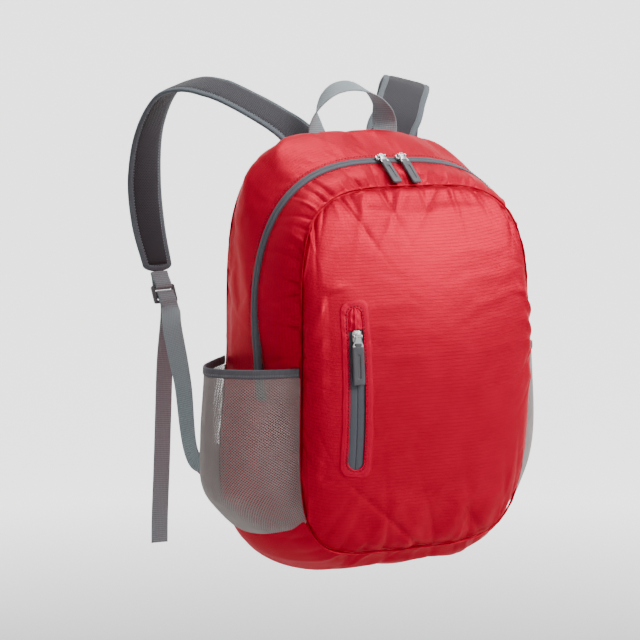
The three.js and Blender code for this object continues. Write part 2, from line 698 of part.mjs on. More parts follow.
// A shoulder strap on the wearer's right: shares of strapSpread, strapReach and strapRise above strapFoot,
// then the direction of its width, and its width as a share of strapWidth.
const strapRows = [
  [0.305, 0.0, -0.4, 1, 0, 0, 1],
  [0.31, 0.004, -0.1, 1, 0, 0, 1],
  [0.34, 0.05, 0.12, 0.93, -0.28, -0.15, 1],
  [0.39, 0.1, 0.29, 0.84, -0.45, -0.25, 1],
  [0.48, 0.165, 0.48, 0.76, -0.58, -0.3, 1],
  [0.61, 0.31, 0.74, 0.7, -0.64, -0.3, 1],
  [0.745, 0.46, 0.95, 0.7, -0.64, -0.3, 1],
  [0.85, 0.62, 1.01, 0.74, -0.62, -0.22, 1],
  [0.93, 0.8, 0.84, 0.74, -0.64, -0.1, 1],
  [0.98, 0.945, 0.25, 0.82, -0.56, 0, 1],
  [1.0, 0.99, -0.6, 0.93, -0.35, 0, 0.94],
  [1.0, 0.94, -1.4, 0.97, -0.2, 0, 0.82],
  [0.985, 0.85, -2.05, 0.98, -0.1, 0, 0.68],
];
const strapCount = 25;
function strapFrames(side) {
  const spread = side > 0 ? rightLean : 0;
  const places = strapRows.map(([x, y, z]) =>
    vec(side * (x * strapSpread + y * spread), strapSeat + y * strapReach, strapFoot + z * strapRise),
  );
  const widths = strapRows.map((row) => vec(row[3], side * row[4], side * row[5]).normalize());
  return framesAlong(places, widths, strapCount);
}
const strapStations = strapRows.map((_, k) => k / (strapRows.length - 1));
const strapWidths = strapRows.map((row) => row[6] * strapWidth);
const strapWidthAt = (share) => smooth(strapStations, strapWidths, share);

// The pad's section, as shares of half its width and of its thickness.
const padSection = [
  [-1, 0.3],
  [-0.86, 0.5],
  [0.86, 0.5],
  [1, 0.3],
  [1, -0.3],
  [0.86, -0.5],
  [-0.86, -0.5],
  [-1, -0.3],
];
function strapPad(side) {
  const half = (k) => strapWidthAt(k / strapCount) / 2 - bindingWidth - seamGap;
  const rings = strapFrames(side).map((f, k) =>
    padSection.map(([w, t]) => moved(f.at, f.wide, w * half(k)).addScaledVector(f.thick, t * strapWall)),
  );
  return tube(rings);
}
// A closed solid through rings of points, with flat ends.
function tube(rings) {
  const around = rings[0].length;
  const faces = [];
  for (let i = 0; i < rings.length - 1; i++)
    for (let j = 0; j < around; j++) {
      const a = i * around + j;
      const b = i * around + ((j + 1) % around);
      faces.push(a, b, b + around, a, b + around, a + around);
    }
  const last = (rings.length - 1) * around;
  for (let j = 1; j < around - 1; j++) faces.push(0, j + 1, j, last, last + j, last + j + 1);
  return solid(rings.flat(), faces);
}
// The binding runs down one edge of the pad, round its lower end and up the other edge.
function strapBinding(side) {
  const frames = strapFrames(side);
  const edge = (f, k, hand) => {
    const away = strapWidthAt(k / strapCount) / 2 - bindingWidth / 2;
    const wide = f.wide.clone().multiplyScalar(hand);
    return { at: moved(f.at, wide, away), wide, thick: f.thick };
  };
  const first = frames.map((f, k) => edge(f, k, -1));
  const second = frames.map((f, k) => edge(f, k, 1)).reverse();
  const end = frames[strapCount];
  const along = end.at.clone().sub(frames[strapCount - 1].at).normalize();
  const reach = strapWidthAt(1) / 2 - bindingWidth / 2;
  const past = bindingWidth / 2 + seamGap;
  const angles = span(-Math.PI / 2, Math.PI / 2, 6).slice(1, -1);
  const turn = angles.map((a) => {
    const out = end.wide.clone().multiplyScalar(Math.sin(a)).addScaledVector(along, Math.cos(a));
    const at = moved(end.at, end.wide, Math.sin(a) * reach).addScaledVector(along, Math.cos(a) * past);
    return { at, wide: out.normalize(), thick: end.thick };
  });
  return band([...first, ...turn, ...second], bindingWidth, bindingWall);
}

// The frame at the pad's lower end, past its binding.
function strapEnd(side) {
  const frames = strapFrames(side);
  const end = frames[strapCount];
  const along = end.at.clone().sub(frames[strapCount - 1].at).normalize();
  const wide = end.wide.clone().addScaledVector(along, -end.wide.dot(along)).normalize();
  const at = moved(end.at, along, bindingWidth + 2 * seamGap);
  return { at, wide, along, thick: crossed(along, wide) };
}
// A place beyond the pad's end: along the strap, and off it towards the wearer.
const beyondPad = (end, along, off) => moved(end.at, end.along, along).addScaledVector(end.thick, off);

// A buckle with three bars: the keeper holds the first and the webbing is threaded round the second.
const bars = [0, buckleBar + buckleSlot, 2 * (buckleBar + buckleSlot)].map((top) => keeperLength + top);
const barMiddle = bars.map((top) => top + buckleBar / 2);
const slotMiddle = bars.slice(0, 2).map((top) => top + buckleBar + buckleSlot / 2);
const bandClear = webbingWall / 2 + seamGap;
const barFace = buckleWall / 2 + bandClear;

function rounded(width, height, radius) {
  const shape = new THREE.Shape();
  const [x, y] = [width / 2, height / 2];
  shape.moveTo(-x + radius, -y);
  shape.lineTo(x - radius, -y);
  shape.absarc(x - radius, -y + radius, radius, -Math.PI / 2, 0, false);
  shape.lineTo(x, y - radius);
  shape.absarc(x - radius, y - radius, radius, 0, Math.PI / 2, false);
  shape.lineTo(-x + radius, y);
  shape.absarc(-x + radius, y - radius, radius, Math.PI / 2, Math.PI, false);
  shape.lineTo(-x, -y + radius);
  shape.absarc(-x + radius, -y + radius, radius, Math.PI, 1.5 * Math.PI, false);
  return shape;
}
function rectangle(width, height, lift) {
  const [x, y] = [width / 2, height / 2];
  const corners = [
    [-x, -y],
    [x, -y],
    [x, y],
    [-x, y],
  ];
  return new THREE.Path(corners.map(([a, b]) => new THREE.Vector2(a, b + lift)));
}
const extruded = (shape, depth) =>
  new THREE.ExtrudeGeometry(shape, { depth, bevelEnabled: false, curveSegments: 3 });

function buckle(side) {
  const end = strapEnd(side);
  const height = bars[2] + buckleBar - bars[0];
  const frame = rounded(buckleWidth, height, buckleBar * 0.8);
  for (const middle of slotMiddle)
    frame.holes.push(rectangle(webbingWidth + 3 * seamGap, buckleSlot, middle - bars[0] - height / 2));
  const basis = new THREE.Matrix4().makeBasis(end.wide, end.along, crossed(end.wide, end.along));
  basis.setPosition(beyondPad(end, bars[0] + height / 2, 0));
  return extruded(frame, buckleWall).translate(0, 0, -buckleWall / 2).applyMatrix4(basis);
}

// Frames through places whose width direction is the same all along.
const flatFrames = (places, wide, count) => framesAlong(places, places.map(() => wide), count);

// A short loop of webbing from the pad's end round the buckle's first bar.
function strapKeeper(side) {
  const end = strapEnd(side);
  const near = webbingWall / 2 + seamGap / 2;
  const slot = bars[0] + buckleBar + bandClear;
  const half = [
    [0, near],
    [bars[0] * 0.45, near + 0.4],
    [bars[0] - 1, barFace],
    [barMiddle[0], barFace + 0.1],
    [slot - 0.2, barFace - 0.4],
  ];
  const route = [...half, [slot, 0], ...half.map(([u, n]) => [u, -n]).reverse()];
  const places = route.map(([u, n]) => beyondPad(end, u, n));
  return band(flatFrames(places, end.wide, 20), webbingWidth, webbingWall);
}

// The tab in the side seam that the strap's webbing is sewn to: its seam edge and its outer edge.
function wingFrame(side) {
  const turn = (s) => (side > 0 ? s : mirrored(s));
  const reach = wingHeight / 2 / quarterLength;
  const lift = vec(0, seamGap + wingWall / 2, 0);
  const base = [-1, 0, 1].map((k) => shellPoint(turn(wingPlace + k * reach), 0).add(lift));
  const out = vec(side * 0.5, 0.8, 0.3).normalize();
  const upright = base[0].clone().sub(base[2]).normalize();
  const wide = upright.addScaledVector(out, -upright.dot(out)).normalize();
  const tip = moved(base[1], out, wingReach);
  const thick = crossed(out, wide).multiplyScalar(side);
  return { base, tip, out, wide, thick };
}
const wingMargin = 1; // how far the tab's outer edge reaches past the webbing on each side
function strapWing(side) {
  const { base, tip, wide, thick } = wingFrame(side);
  const half = webbingWidth / 2 + wingMargin;
  const outer = [-1, 0, 1].map((k) => moved(tip, wide, -k * half));
  const face = (hand) =>
    base.map((root, k) =>
      [0, 0.5, 1].map((share) => moved(root.clone().lerp(outer[k], share), thick, (hand * wingWall) / 2)),
    );
  return sheet(face(1), face(-1));
}

// The webbing runs from the side tab up to the buckle, round its middle bar and down to its free end.
// The three lists are places chosen by hand for one strap, as it hangs in wear.
const webbingRise = [
  [168, 60, -50],
  [159, 104, 0],
];
const webbingTail = [
  [151, 142, -40],
  [157, 134, -95],
  [162, 128, -150],
  [166, 125, -205],
  [167, 124, -232],
];
function strapWebbing(side) {
  const end = strapEnd(side);
  const wing = wingFrame(side);
  const onWing = wingWall / 2 + seamGap + webbingWall / 2;
  const outside = (reach) => moved(moved(wing.tip, wing.out, reach), wing.thick, onWing);
  const seat = outside(-wingReach * 0.6);
  const lip = outside(wingReach * 0.115);
  const tuck = buckleBar * 0.5 + bandClear;
  const threaded = [
    [bars[2] + buckleBar + tailLead, barFace + webbingWall + tailLift],
    [barMiddle[2], barFace + webbingWall + 0.5],
    [bars[2] - 2, barFace + webbingWall - 0.2],
    [barMiddle[1] + 0.8, barFace + 0.1],
    [barMiddle[1] - tuck + 0.25, barFace - 0.25],
    [barMiddle[1] - tuck, 0],
    [barMiddle[1] - tuck + 0.25, -barFace + 0.25],
    [barMiddle[1], -barFace],
    [barMiddle[1] + tuck - 0.2, -barFace + 0.3],
    [slotMiddle[1] + 0.2, 0.3],
    [bars[2] - 0.8, barFace - 0.25],
    [barMiddle[2], barFace + 0.05],
    [bars[2] + buckleBar + 5, barFace],
  ].map(([u, n]) => beyondPad(end, u, n));
  const worn = ([x, y, z]) => vec(side * x, y, z);
  const places = [seat, lip, ...webbingRise.map(worn), ...threaded, ...webbingTail.map(worn)];
  const atWing = wing.wide.clone().negate();
  const atBuckle = end.wide.clone().multiplyScalar(side);
  const firstThreaded = 2 + webbingRise.length;
  const across = (k) => atWing.clone().lerp(atBuckle, clamp01((k - 1) / (firstThreaded - 1))).normalize();
  return band(framesAlong(places, places.map((_, k) => across(k)), 64), webbingWidth, webbingWall);
}

// A zip slider in its own frame: the bar along X, the pull hanging towards +Y, +Z off the cloth.
const sliderTop = sliderLift + sliderHeight;
const barLift = sliderTop + pullClearance + knuckleRadius;
const block = (width, depth, height, x, y, z) =>
  new THREE.BoxGeometry(width, depth, height).translate(x, y, z);
const rod = (radius, length, sides) =>
  new THREE.CylinderGeometry(radius, radius, length, sides).rotateZ(Math.PI / 2);
const plateCorner = 2.4;
const postDepth = 2.6; // along the zip
const postRoot = 0.5; // how deep a post stands in the plate
const postTop = barLift + barRadius + 0.3;
function slider(alongBar, acrossBar) {
  const plate = extruded(rounded(alongBar, acrossBar, plateCorner), sliderHeight);
  plate.translate(0, 0, sliderLift);
  const postBase = sliderTop - postRoot;
  const posts = [-1, 1].map((hand) => {
    const x = (hand * (barSpan + postWall)) / 2;
    return block(postWall, postDepth, postTop - postBase, x, 0, (postTop + postBase) / 2);
  });
  return joined(plate, ...posts, rod(barRadius, barSpan + postWall, 8).translate(0, 0, barLift));
}
// The pull turns on the bar: its own origin is the bar's centre.
const knuckleWidth = barSpan - 2 * pullClearance;
const shaftWidth = knuckleWidth * 0.8;
const shaftStart = 1; // from the bar's centre, inside the knuckle
function puller() {
  const length = pullLength - shaftStart;
  const shaft = block(shaftWidth, length, pullWall, 0, shaftStart + length / 2, 0);
  const bore = barRadius + pullClearance;
  return cut(joined(rod(knuckleRadius, knuckleWidth, 12), shaft), rod(bore, 2 * knuckleWidth, 12));
}
const gripCorner = 2;
const gripStart = pullLength - gripHold;
function grip({ length, width }) {
  const slab = extruded(rounded(width, length, gripCorner), gripWall);
  slab.translate(0, gripStart + length / 2, -gripWall / 2);
  const end = pullLength + seamGap;
  const socket = block(shaftWidth + 2 * seamGap, end, pullWall + 2 * seamGap, 0, end / 2, 0);
  return cut(slab, socket);
}

const named = (name, geometry, look) => {
  const mesh = new THREE.Mesh(geometry, look);
  mesh.name = name;
  return mesh;
};

// The lowest that a pull can lie: its angle from the frame's +Y, for cloth points in the frame's Y and Z.
const nearestCloth = 1;
const reachPast = 2; // how far past the grip's end the cloth still counts
function restAngle(points, reach) {
  const margin = gripWall / 2 + restGap;
  let lowest = -Math.PI / 2;
  for (const [y, z] of points) {
    const away = Math.hypot(y, z - barLift);
    const angle = Math.atan2(z - barLift, y) + Math.asin(Math.min(1, margin / away));
    if (y > nearestCloth && away < reach + reachPast) lowest = Math.max(lowest, angle);
  }
  return lowest;
}

function zipPull(label, place, bar, drop, sizes, tab, clothPoints) {
  const off = crossed(bar, drop);
  const frame = new THREE.Matrix4().makeBasis(bar, drop, off).setPosition(place);
  const inverse = frame.clone().invert();
  const group = new THREE.Group();
  group.applyMatrix4(frame);
  group.add(named(label.slider, slider(...sizes), material("metal", 0.3, 0.9)));
  const swing = new THREE.Group();
  swing.position.z = barLift;
  const local = clothPoints.map((p) => p.clone().applyMatrix4(inverse)).map((p) => [p.y, p.z]);
  swing.rotation.x = restAngle(local, gripStart + tab.length);
  swing.add(named(label.puller, puller(), material("metal", 0.3, 0.9)));
  swing.add(named(label.grip, grip(tab), material("grip")));
  group.add(swing);
  return group;
}
// How far round the bag the zip has come at a distance across the bag.
const turnStep = 0.001;
const turnAtX = (x) => {
  let s = 0;
  while (Math.abs(shellPoint(s, zipAt).x) < Math.abs(x)) s += Math.sign(x) * turnStep;
  return s;
};
// The cloth under a main pull: the gusset in front of the zip, then the top of the front panel.
function underMainPull(s) {
  const below = [];
  for (const turn of [-0.02, 0, 0.02])
    for (const t of span(zipAt + 0.03, 1, 24)) below.push(gussetPoint(s + turn, t));
  for (const v of span(0, 0.12, 12)) below.push(panelPoint(0.5 + s / (2 * gridCorners.topRight), v));
  return below;
}
function mainPull(side) {
  const s = turnAtX(sliderPlaces[side]);
  const normal = shellNormal(s, zipAt);
  const along = shellPoint(s + besideTurn, zipAt).sub(shellPoint(s - besideTurn, zipAt)).normalize();
  const drop = crossed(normal, along);
  const forward = shellPoint(s, zipAt + beyondSeam).sub(shellPoint(s, zipAt));
  if (drop.dot(forward) < 0) drop.negate();
  const place = moved(shellPoint(s, zipAt), normal, toothHeight);
  const label = { slider: "slider_" + side, puller: "puller_" + side, grip: "grip_" + side };
  const bar = crossed(drop, normal);
  return zipPull(label, place, bar, drop, [sliderLength, sliderWidth], mainGrip, underMainPull(s));
}
const underGarage = 3; // from the hood down to the pocket's slider
function pocketPull() {
  const near = sliderLength / 6;
  const up = tapeTop - garageLength - sliderLength / 2 - underGarage;
  const place = slotPoint([0, up], tapeRise);
  const drop = slotPoint([0, up - near], 0).sub(slotPoint([0, up + near], 0)).normalize();
  const side = slotPoint([near, up], 0).sub(slotPoint([-near, up], 0));
  const bar = side.addScaledVector(drop, -side.dot(drop)).normalize().negate();
  const below = [];
  for (const right of [-slotWidth / 2 - weltWidth, 0, slotWidth / 2 + weltWidth])
    for (const down of span(near, gripStart + pocketGrip.length + gripBeyond, 20))
      below.push(slotPoint([right, up - down], seamGap + weltWall));
  const label = { slider: "pocket_slider", puller: "pocket_puller", grip: "pocket_grip" };
  return zipPull(label, place, bar, drop, [barSpan + 2 * postWall, sliderLength], pocketGrip, below);
}

const backpack = new THREE.Group();
backpack.add(
  named("back_panel", backPanel(), material("shell")),
  named("rear_gusset", rearGusset(), material("shell")),
  named("front_gusset", frontGusset(), material("shell")),
  named("base_gusset", baseGusset(), material("shell")),
  named("front_panel", frontPanel(), material("front")),
  named("main_zip_tape", mainZipTape(), material("zip")),
  named("pocket_welt", pocketWelt(), material("welt")),
  named("pocket_zip_tape", pocketZipTape(), material("zip")),
  named("pocket_garage", pocketGarage(), material("welt")),
  named("haul_loop", haulLoop(), material("binding")),
  mainPull("left"),
  mainPull("right"),
  pocketPull(),
);
for (const [side, hand] of [["left", -1], ["right", 1]]) {
  backpack.add(
    named("mesh_pocket_" + side, meshPocket(side), material("net")),
    named("pocket_hem_" + side, pocketHem(side), material("binding")),
    named("strap_pad_" + side, strapPad(hand), material("foam")),
    named("strap_binding_" + side, strapBinding(hand), material("binding")),
    named("strap_keeper_" + side, strapKeeper(hand), material("binding")),
    named("buckle_" + side, buckle(hand), material("plastic")),
    named("strap_wing_" + side, strapWing(hand), material("welt")),
    named("strap_webbing_" + side, strapWebbing(hand), material("binding")),
  );
}
export default backpack;
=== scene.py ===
# %% [markdown]
# # A packable backpack in Blender
# The bag is a light ripstop daypack, filled and shaped as it is in wear. The solids that come with it
# hold every size. This file gives them cloth, net, webbing, zips and stitches. Each step says what the
# piece is on the real bag, how it could be made, and why it is made the way that follows.

# %% Load the frame
import json
import math
import bmesh
import bpy
import numpy as np
from mathutils import Matrix, Vector


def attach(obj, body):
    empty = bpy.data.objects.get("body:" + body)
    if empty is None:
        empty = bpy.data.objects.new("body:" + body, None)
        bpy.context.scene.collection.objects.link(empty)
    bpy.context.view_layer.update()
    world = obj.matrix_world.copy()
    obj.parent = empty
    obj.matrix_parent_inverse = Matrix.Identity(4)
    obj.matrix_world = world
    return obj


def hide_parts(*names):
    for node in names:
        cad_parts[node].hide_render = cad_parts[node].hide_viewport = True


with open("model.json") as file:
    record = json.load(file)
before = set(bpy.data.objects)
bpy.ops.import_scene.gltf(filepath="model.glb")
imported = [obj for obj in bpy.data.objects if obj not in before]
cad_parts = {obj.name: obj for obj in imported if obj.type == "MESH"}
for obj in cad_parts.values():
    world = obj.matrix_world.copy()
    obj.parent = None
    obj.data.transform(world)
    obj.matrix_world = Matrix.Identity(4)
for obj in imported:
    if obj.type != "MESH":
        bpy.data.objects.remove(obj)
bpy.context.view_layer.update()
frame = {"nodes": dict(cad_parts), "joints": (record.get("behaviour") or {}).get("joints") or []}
ROOT = "backpack"

# %% [markdown]
# ## The camera
# The bag was photographed from behind the wearer's left, a little above its middle, with a long lens
# that keeps the outline almost free of perspective. The camera is placed by its angles and distance
# from one point near the bag's centre, so that the same numbers can be changed one at a time.

# %% Place the camera
CAMERA_TURN = math.radians(-28.0)
CAMERA_RISE = math.radians(7.0)
CAMERA_AWAY = 2.4
CAMERA_LENS = 131.06
LOOK_AT = Vector((-0.042, -0.0055, 0.0136))

towards_camera = Vector((
    math.sin(CAMERA_TURN) * math.cos(CAMERA_RISE),
    -math.cos(CAMERA_TURN) * math.cos(CAMERA_RISE),
    math.sin(CAMERA_RISE),
))
camera_data = bpy.data.cameras.new("studio_camera")
camera_data.lens = CAMERA_LENS
camera_data.sensor_width = 36.0
camera_data.clip_end = 50.0
camera = bpy.data.objects.new("studio_camera", camera_data)
bpy.context.scene.collection.objects.link(camera)
camera.location = LOOK_AT + towards_camera * CAMERA_AWAY
camera.rotation_euler = towards_camera.to_track_quat("Z", "Y").to_euler()
bpy.context.scene.camera = camera
print("camera at", [round(v, 3) for v in camera.location])

# %% [markdown]
# ## A short way to write shader maths
# A pattern such as a weave is a sum of waves and masks. Written as nodes one by one it is unreadable,
# so a small class wraps a node's output and lets Python's own operators add the Math nodes. Every other
# node comes from one method that takes its type, its settings and what its inputs hold.

# %% The node helper
class Wire:
    """One output of a node, which can be added, multiplied and compared like a number."""

    def __init__(self, tree, socket):
        self.tree = tree
        self.socket = socket

    def maths(self, operation, *values):
        node = self.tree.nodes.new("ShaderNodeMath")
        node.operation = operation
        for slot_number, value in enumerate((self, *values)):
            connect(self.tree, node.inputs[slot_number], value)
        return Wire(self.tree, node.outputs[0])

    def __add__(self, other):
        return self.maths("ADD", other)

    def __sub__(self, other):
        return self.maths("SUBTRACT", other)

    def __mul__(self, other):
        return self.maths("MULTIPLY", other)

    def __truediv__(self, other):
        return self.maths("DIVIDE", other)

    def __pow__(self, other):
        return self.maths("POWER", other)

    def __neg__(self):
        return self * -1.0

    __radd__ = __add__
    __rmul__ = __mul__

    def __rsub__(self, other):
        return -self + other

    def sine(self):
        return self.maths("SINE")

    def size(self):
        return self.maths("ABSOLUTE")

    def above(self, limit):
        return self.maths("GREATER_THAN", limit)

    def least(self, other):
        return self.maths("MINIMUM", other)

    def most(self, other):
        return self.maths("MAXIMUM", other)

    def fraction(self):
        return self.maths("FRACT")


def connect(tree, socket, value):
    """Links a wire to an input, or sets the input to a number, a colour or a direction."""
    if isinstance(value, Wire):
        tree.links.new(value.socket, socket)
    else:
        socket.default_value = value


class Finish:
    """A material whose nodes are added one by one."""

    def __init__(self, name, **constants):
        self.material = bpy.data.materials.new(name)
        self.material.use_nodes = True
        self.tree = self.material.node_tree
        self.shader = self.tree.nodes["Principled BSDF"]
        self.set(**constants)

    def set(self, **values):
        for title, value in values.items():
            connect(self.tree, self.shader.inputs[title.replace("_", " ")], value)

    def node(self, kind, output=0, settings=(), **values):
        made = self.tree.nodes.new("ShaderNode" + kind)
        for title, value in dict(settings).items():
            setattr(made, title, value)
        for title, value in values.items():
            connect(self.tree, made.inputs[title.replace("_", " ")], value)
        return Wire(self.tree, made.outputs[output])

    def along(self):
        """The piece's own distances along and across its cloth, in metres."""
        uv = self.node("UVMap", settings={"uv_map": "cloth"})
        split = self.tree.nodes.new("ShaderNodeSeparateXYZ")
        self.tree.links.new(uv.socket, split.inputs[0])
        return Wire(self.tree, split.outputs[0]), Wire(self.tree, split.outputs[1]), uv

    def place(self):
        """The place in the bag's own frame, in metres."""
        return self.node("TexCoord", output=3)

    def noise(self, where, scale, detail=2.0, roughness=0.5):
        return self.node("TexNoise", Vector=where, Scale=scale, Detail=detail, Roughness=roughness)

    def blend(self, share, first, second):
        mixed = self.tree.nodes.new("ShaderNodeMix")
        mixed.data_type = "RGBA"
        for title, value in (("Factor_Float", share), ("A_Color", first), ("B_Color", second)):
            socket = next(s for s in mixed.inputs if s.identifier == title)
            connect(self.tree, socket, value)
        return Wire(self.tree, next(s for s in mixed.outputs if s.identifier == "Result_Color"))

    def bump(self, height, distance, strength=1.0, under=None):
        values = {"Height": height, "Distance": distance, "Strength": strength}
        if under is not None:
            values["Normal"] = under
        return self.node("Bump", **values)


print("node helper ready")

# %% [markdown]
# ## The bag's sections
# A filled bag has no flat faces, so it is described as a ship's hull is: by a few closed outlines, one
# behind the other, from the back seam to the front seam. Each outline is a superellipse whose corners
# have their own roundness. The solids follow the same rows, so cloth made from them fits the solids.

# %% Sizes of the bag, in metres
BAG_WIDTH = 0.308
BAG_TOP = 0.208
BAG_BASE = 0.230
BAG_DEPTH = 0.130
FRONT_BULGE = 0.046
LOAD_SAG = 0.026
ZIP_WIDTH = 0.009
ZIP_AT = 0.6
ZIP_BEND = 0.08
ZIP_END = 1.15
QUARTER = (BAG_WIDTH / 2 + BAG_TOP) * 0.85

SECTION_NAMES = ("t", "side", "top", "base", "half", "up", "down", "top_left", "top_right", "base_left", "base_right")
SECTION_ROWS = (
    (0.0, 0.0, 0.0, 0.0, 0.955, 0.98, 0.915, 3.6, 2.8, 4.6, 4.0),
    (0.22, 0.22, 0.16, 0.22, 1.0, 1.0, 0.985, 3.5, 2.7, 4.6, 3.8),
    (0.6, 0.58, 0.54, 0.62, 1.0, 0.868, 1.0, 2.8, 3.1, 4.4, 3.6),
    (0.82, 0.85, 0.7, 0.9, 0.93, 0.81, 0.955, 3.2, 3.6, 4.6, 3.5),
    (1.0, 1.0, 0.8, 1.07, 0.838, 0.75, 0.88, 3.6, 4.4, 6.0, 3.8),
)
sections = {name: np.array([row[k] for row in SECTION_ROWS]) for k, name in enumerate(SECTION_NAMES)}


def smooth(stations, values, at):
    """A smooth curve through a table's values, with the mean slope of both sides at each row."""
    stations, values, at = np.asarray(stations, float), np.asarray(values, float), np.asarray(at, float)
    slopes = np.diff(values) / np.diff(stations)
    tangents = np.concatenate([[slopes[0]], (slopes[1:] + slopes[:-1]) / 2, [slopes[-1]]])
    k = np.clip(np.searchsorted(stations, at, side="left") - 1, 0, len(stations) - 2)
    width = stations[k + 1] - stations[k]
    x = (at - stations[k]) / width
    return (
        (2 * x**3 - 3 * x**2 + 1) * values[k]
        + (x**3 - 2 * x**2 + x) * width * tangents[k]
        + (3 * x**2 - 2 * x**3) * values[k + 1]
        + (x**3 - x**2) * width * tangents[k + 1]
    )


def quarter_curve(power, across, up, shares):
    """Points of a superellipse's quarter, from its top to its side, at shares of its length."""
    angle = np.linspace(0, np.pi / 2, 241)
    x = across * np.clip(np.sin(angle), 0, 1) ** (2 / power)
    z = up * np.clip(np.cos(angle), 0, 1) ** (2 / power)
    length = np.concatenate([[0], np.cumsum(np.hypot(np.diff(x), np.diff(z)))])
    target = np.clip(shares, 0, 1) * length[-1]
    return np.interp(target, length, x), np.interp(target, length, z)


def ring(t, s):
    """The outline at t, at s quarters from the top centre: 1 is the wearer's right, 2 the underside."""
    row = {name: float(smooth(sections["t"], sections[name], t)) for name in SECTION_NAMES[1:]}
    half, up, down = row["half"] * BAG_WIDTH / 2, row["up"] * BAG_TOP, row["down"] * BAG_BASE
    turn = np.mod(s, 4.0)
    turn = np.where(turn >= 4, 0, turn)
    corner = np.minimum(3, turn.astype(int))
    share = turn - corner
    points = np.zeros((len(turn), 3))
    plan = (("top_right", 1, 1, False), ("base_right", 1, -1, True), ("base_left", -1, -1, False), ("top_left", -1, 1, True))
    for number, (power, hand, height, backwards) in enumerate(plan):
        here = corner == number
        shares = 1 - share[here] if backwards else share[here]
        x, z = quarter_curve(row[power], half, up if height > 0 else down, shares)
        high = z / up if height > 0 else 0 * z
        low = 0 * z if height > 0 else z / down
        depth = row["side"] + (row["top"] - row["side"]) * high**3 + (row["base"] - row["side"]) * low**3
        dragged = LOAD_SAG * (x / half) * low**1.5 * (1 - 0.8 * t) if hand < 0 else 0 * x
        points[here] = np.stack([hand * x - dragged, -depth * BAG_DEPTH, height * z], axis=1)
    return points


# %% A fine lattice of the shell and its normals
LATTICE_S = np.linspace(0, 4, 481)
LATTICE_T = np.linspace(0, 1, 41)
lattice = np.stack([ring(t, LATTICE_S) for t in LATTICE_T], axis=1)
step_s = np.roll(lattice[:-1], -1, axis=0) - np.roll(lattice[:-1], 1, axis=0)
step_s = np.concatenate([step_s, step_s[:1]])
lattice_normals = np.cross(np.gradient(lattice, axis=1), step_s)
lattice_normals /= np.linalg.norm(lattice_normals, axis=2, keepdims=True)


def on_lattice(values, s, t):
    """Values of the lattice between its points, for arrays of s and t of one shape."""
    a = np.mod(s, 4.0) / 4 * (len(LATTICE_S) - 1)
    b = np.clip(t, 0, 1) * (len(LATTICE_T) - 1)
    i = np.minimum(a.astype(int), len(LATTICE_S) - 2)
    j = np.minimum(b.astype(int), len(LATTICE_T) - 2)
    fa, fb = (a - i)[..., None], (b - j)[..., None]
    first = values[i, j] * (1 - fa) + values[i + 1, j] * fa
    second = values[i, j + 1] * (1 - fa) + values[i + 1, j + 1] * fa
    return first * (1 - fb) + second * fb


def shell(s, t):
    return on_lattice(lattice, *np.broadcast_arrays(np.asarray(s, float), np.asarray(t, float)))


def shell_normal(s, t):
    found = on_lattice(lattice_normals, *np.broadcast_arrays(np.asarray(s, float), np.asarray(t, float)))
    return found / np.linalg.norm(found, axis=-1, keepdims=True)


reach = lattice.reshape(-1, 3)
print("shell from", reach.min(axis=0).round(4), "to", reach.max(axis=0).round(4))

# %% [markdown]
# ## Folds and gathers
# Thin cloth that is sewn to a shorter seam throws up gathers that stand square to the seam and die
# away in two or three centimetres. Longer drag folds run between places that pull on the cloth. The
# long folds come from a short table, and the gathers from waves of uneven pitch along each seam.

# %% Fold tables
FOLD_HEIGHT = 0.005
GUSSET_FOLDS = (  # from s and t to s and t, width as a share of the depth, height as a share
    (3.78, 0.02, 3.62, 0.4, 0.08, 0.5),
    (3.66, 0.02, 3.45, 0.3, 0.08, 0.45),
    (0.24, 0.02, 0.34, 0.42, 0.08, 0.5),
    (3.36, 0.05, 3.16, 0.4, 0.1, -0.5),
    (2.34, 0.15, 2.2, 0.8, 0.1, 0.6),
    (2.3, 0.1, 2.06, 0.5, 0.09, -0.5),
    (1.66, 0.2, 1.84, 0.8, 0.1, 0.6),
    (1.86, 0.15, 2.02, 0.7, 0.09, 0.4),
    (2.9, 0.5, 2.7, 0.5, 0.3, -2.0),
)
PANEL_FOLDS = (  # from u and v to u and v, width as a share of the panel's height, height as a share
    (0.02, 0.42, 0.19, 0.28, 0.03, 0.8),
    (0.0, 0.5, 0.17, 0.42, 0.03, 0.6),
    (0.01, 0.61, 0.15, 0.53, 0.03, 0.45),
    (0.03, 0.93, 0.14, 0.78, 0.03, 0.5),
    (0.34, 0.99, 0.38, 0.86, 0.03, 0.8),
    (0.45, 0.99, 0.46, 0.88, 0.025, 0.7),
    (0.56, 0.99, 0.6, 0.88, 0.025, 0.6),
    (0.7, 0.98, 0.7, 0.9, 0.025, 0.5),
    (0.99, 0.38, 0.9, 0.3, 0.025, 0.5),
    (0.99, 0.47, 0.9, 0.4, 0.025, 0.6),
    (0.99, 0.56, 0.91, 0.49, 0.025, 0.5),
    (0.99, 0.65, 0.91, 0.59, 0.025, 0.4),
)


def ridge(here, start, end, wide):
    """The height of a rounded ridge along a line, for places of shape (..., 2)."""
    start, end = np.asarray(start), np.asarray(end)
    line = end - start
    along = np.clip(((here - start) @ line) / (line @ line), 0, 1)
    away = np.linalg.norm(here - start - along[..., None] * line, axis=-1)
    return np.exp(-((away / wide) ** 2)) * (0.35 + 0.65 * np.sin(np.pi * (0.15 + 0.7 * along)))


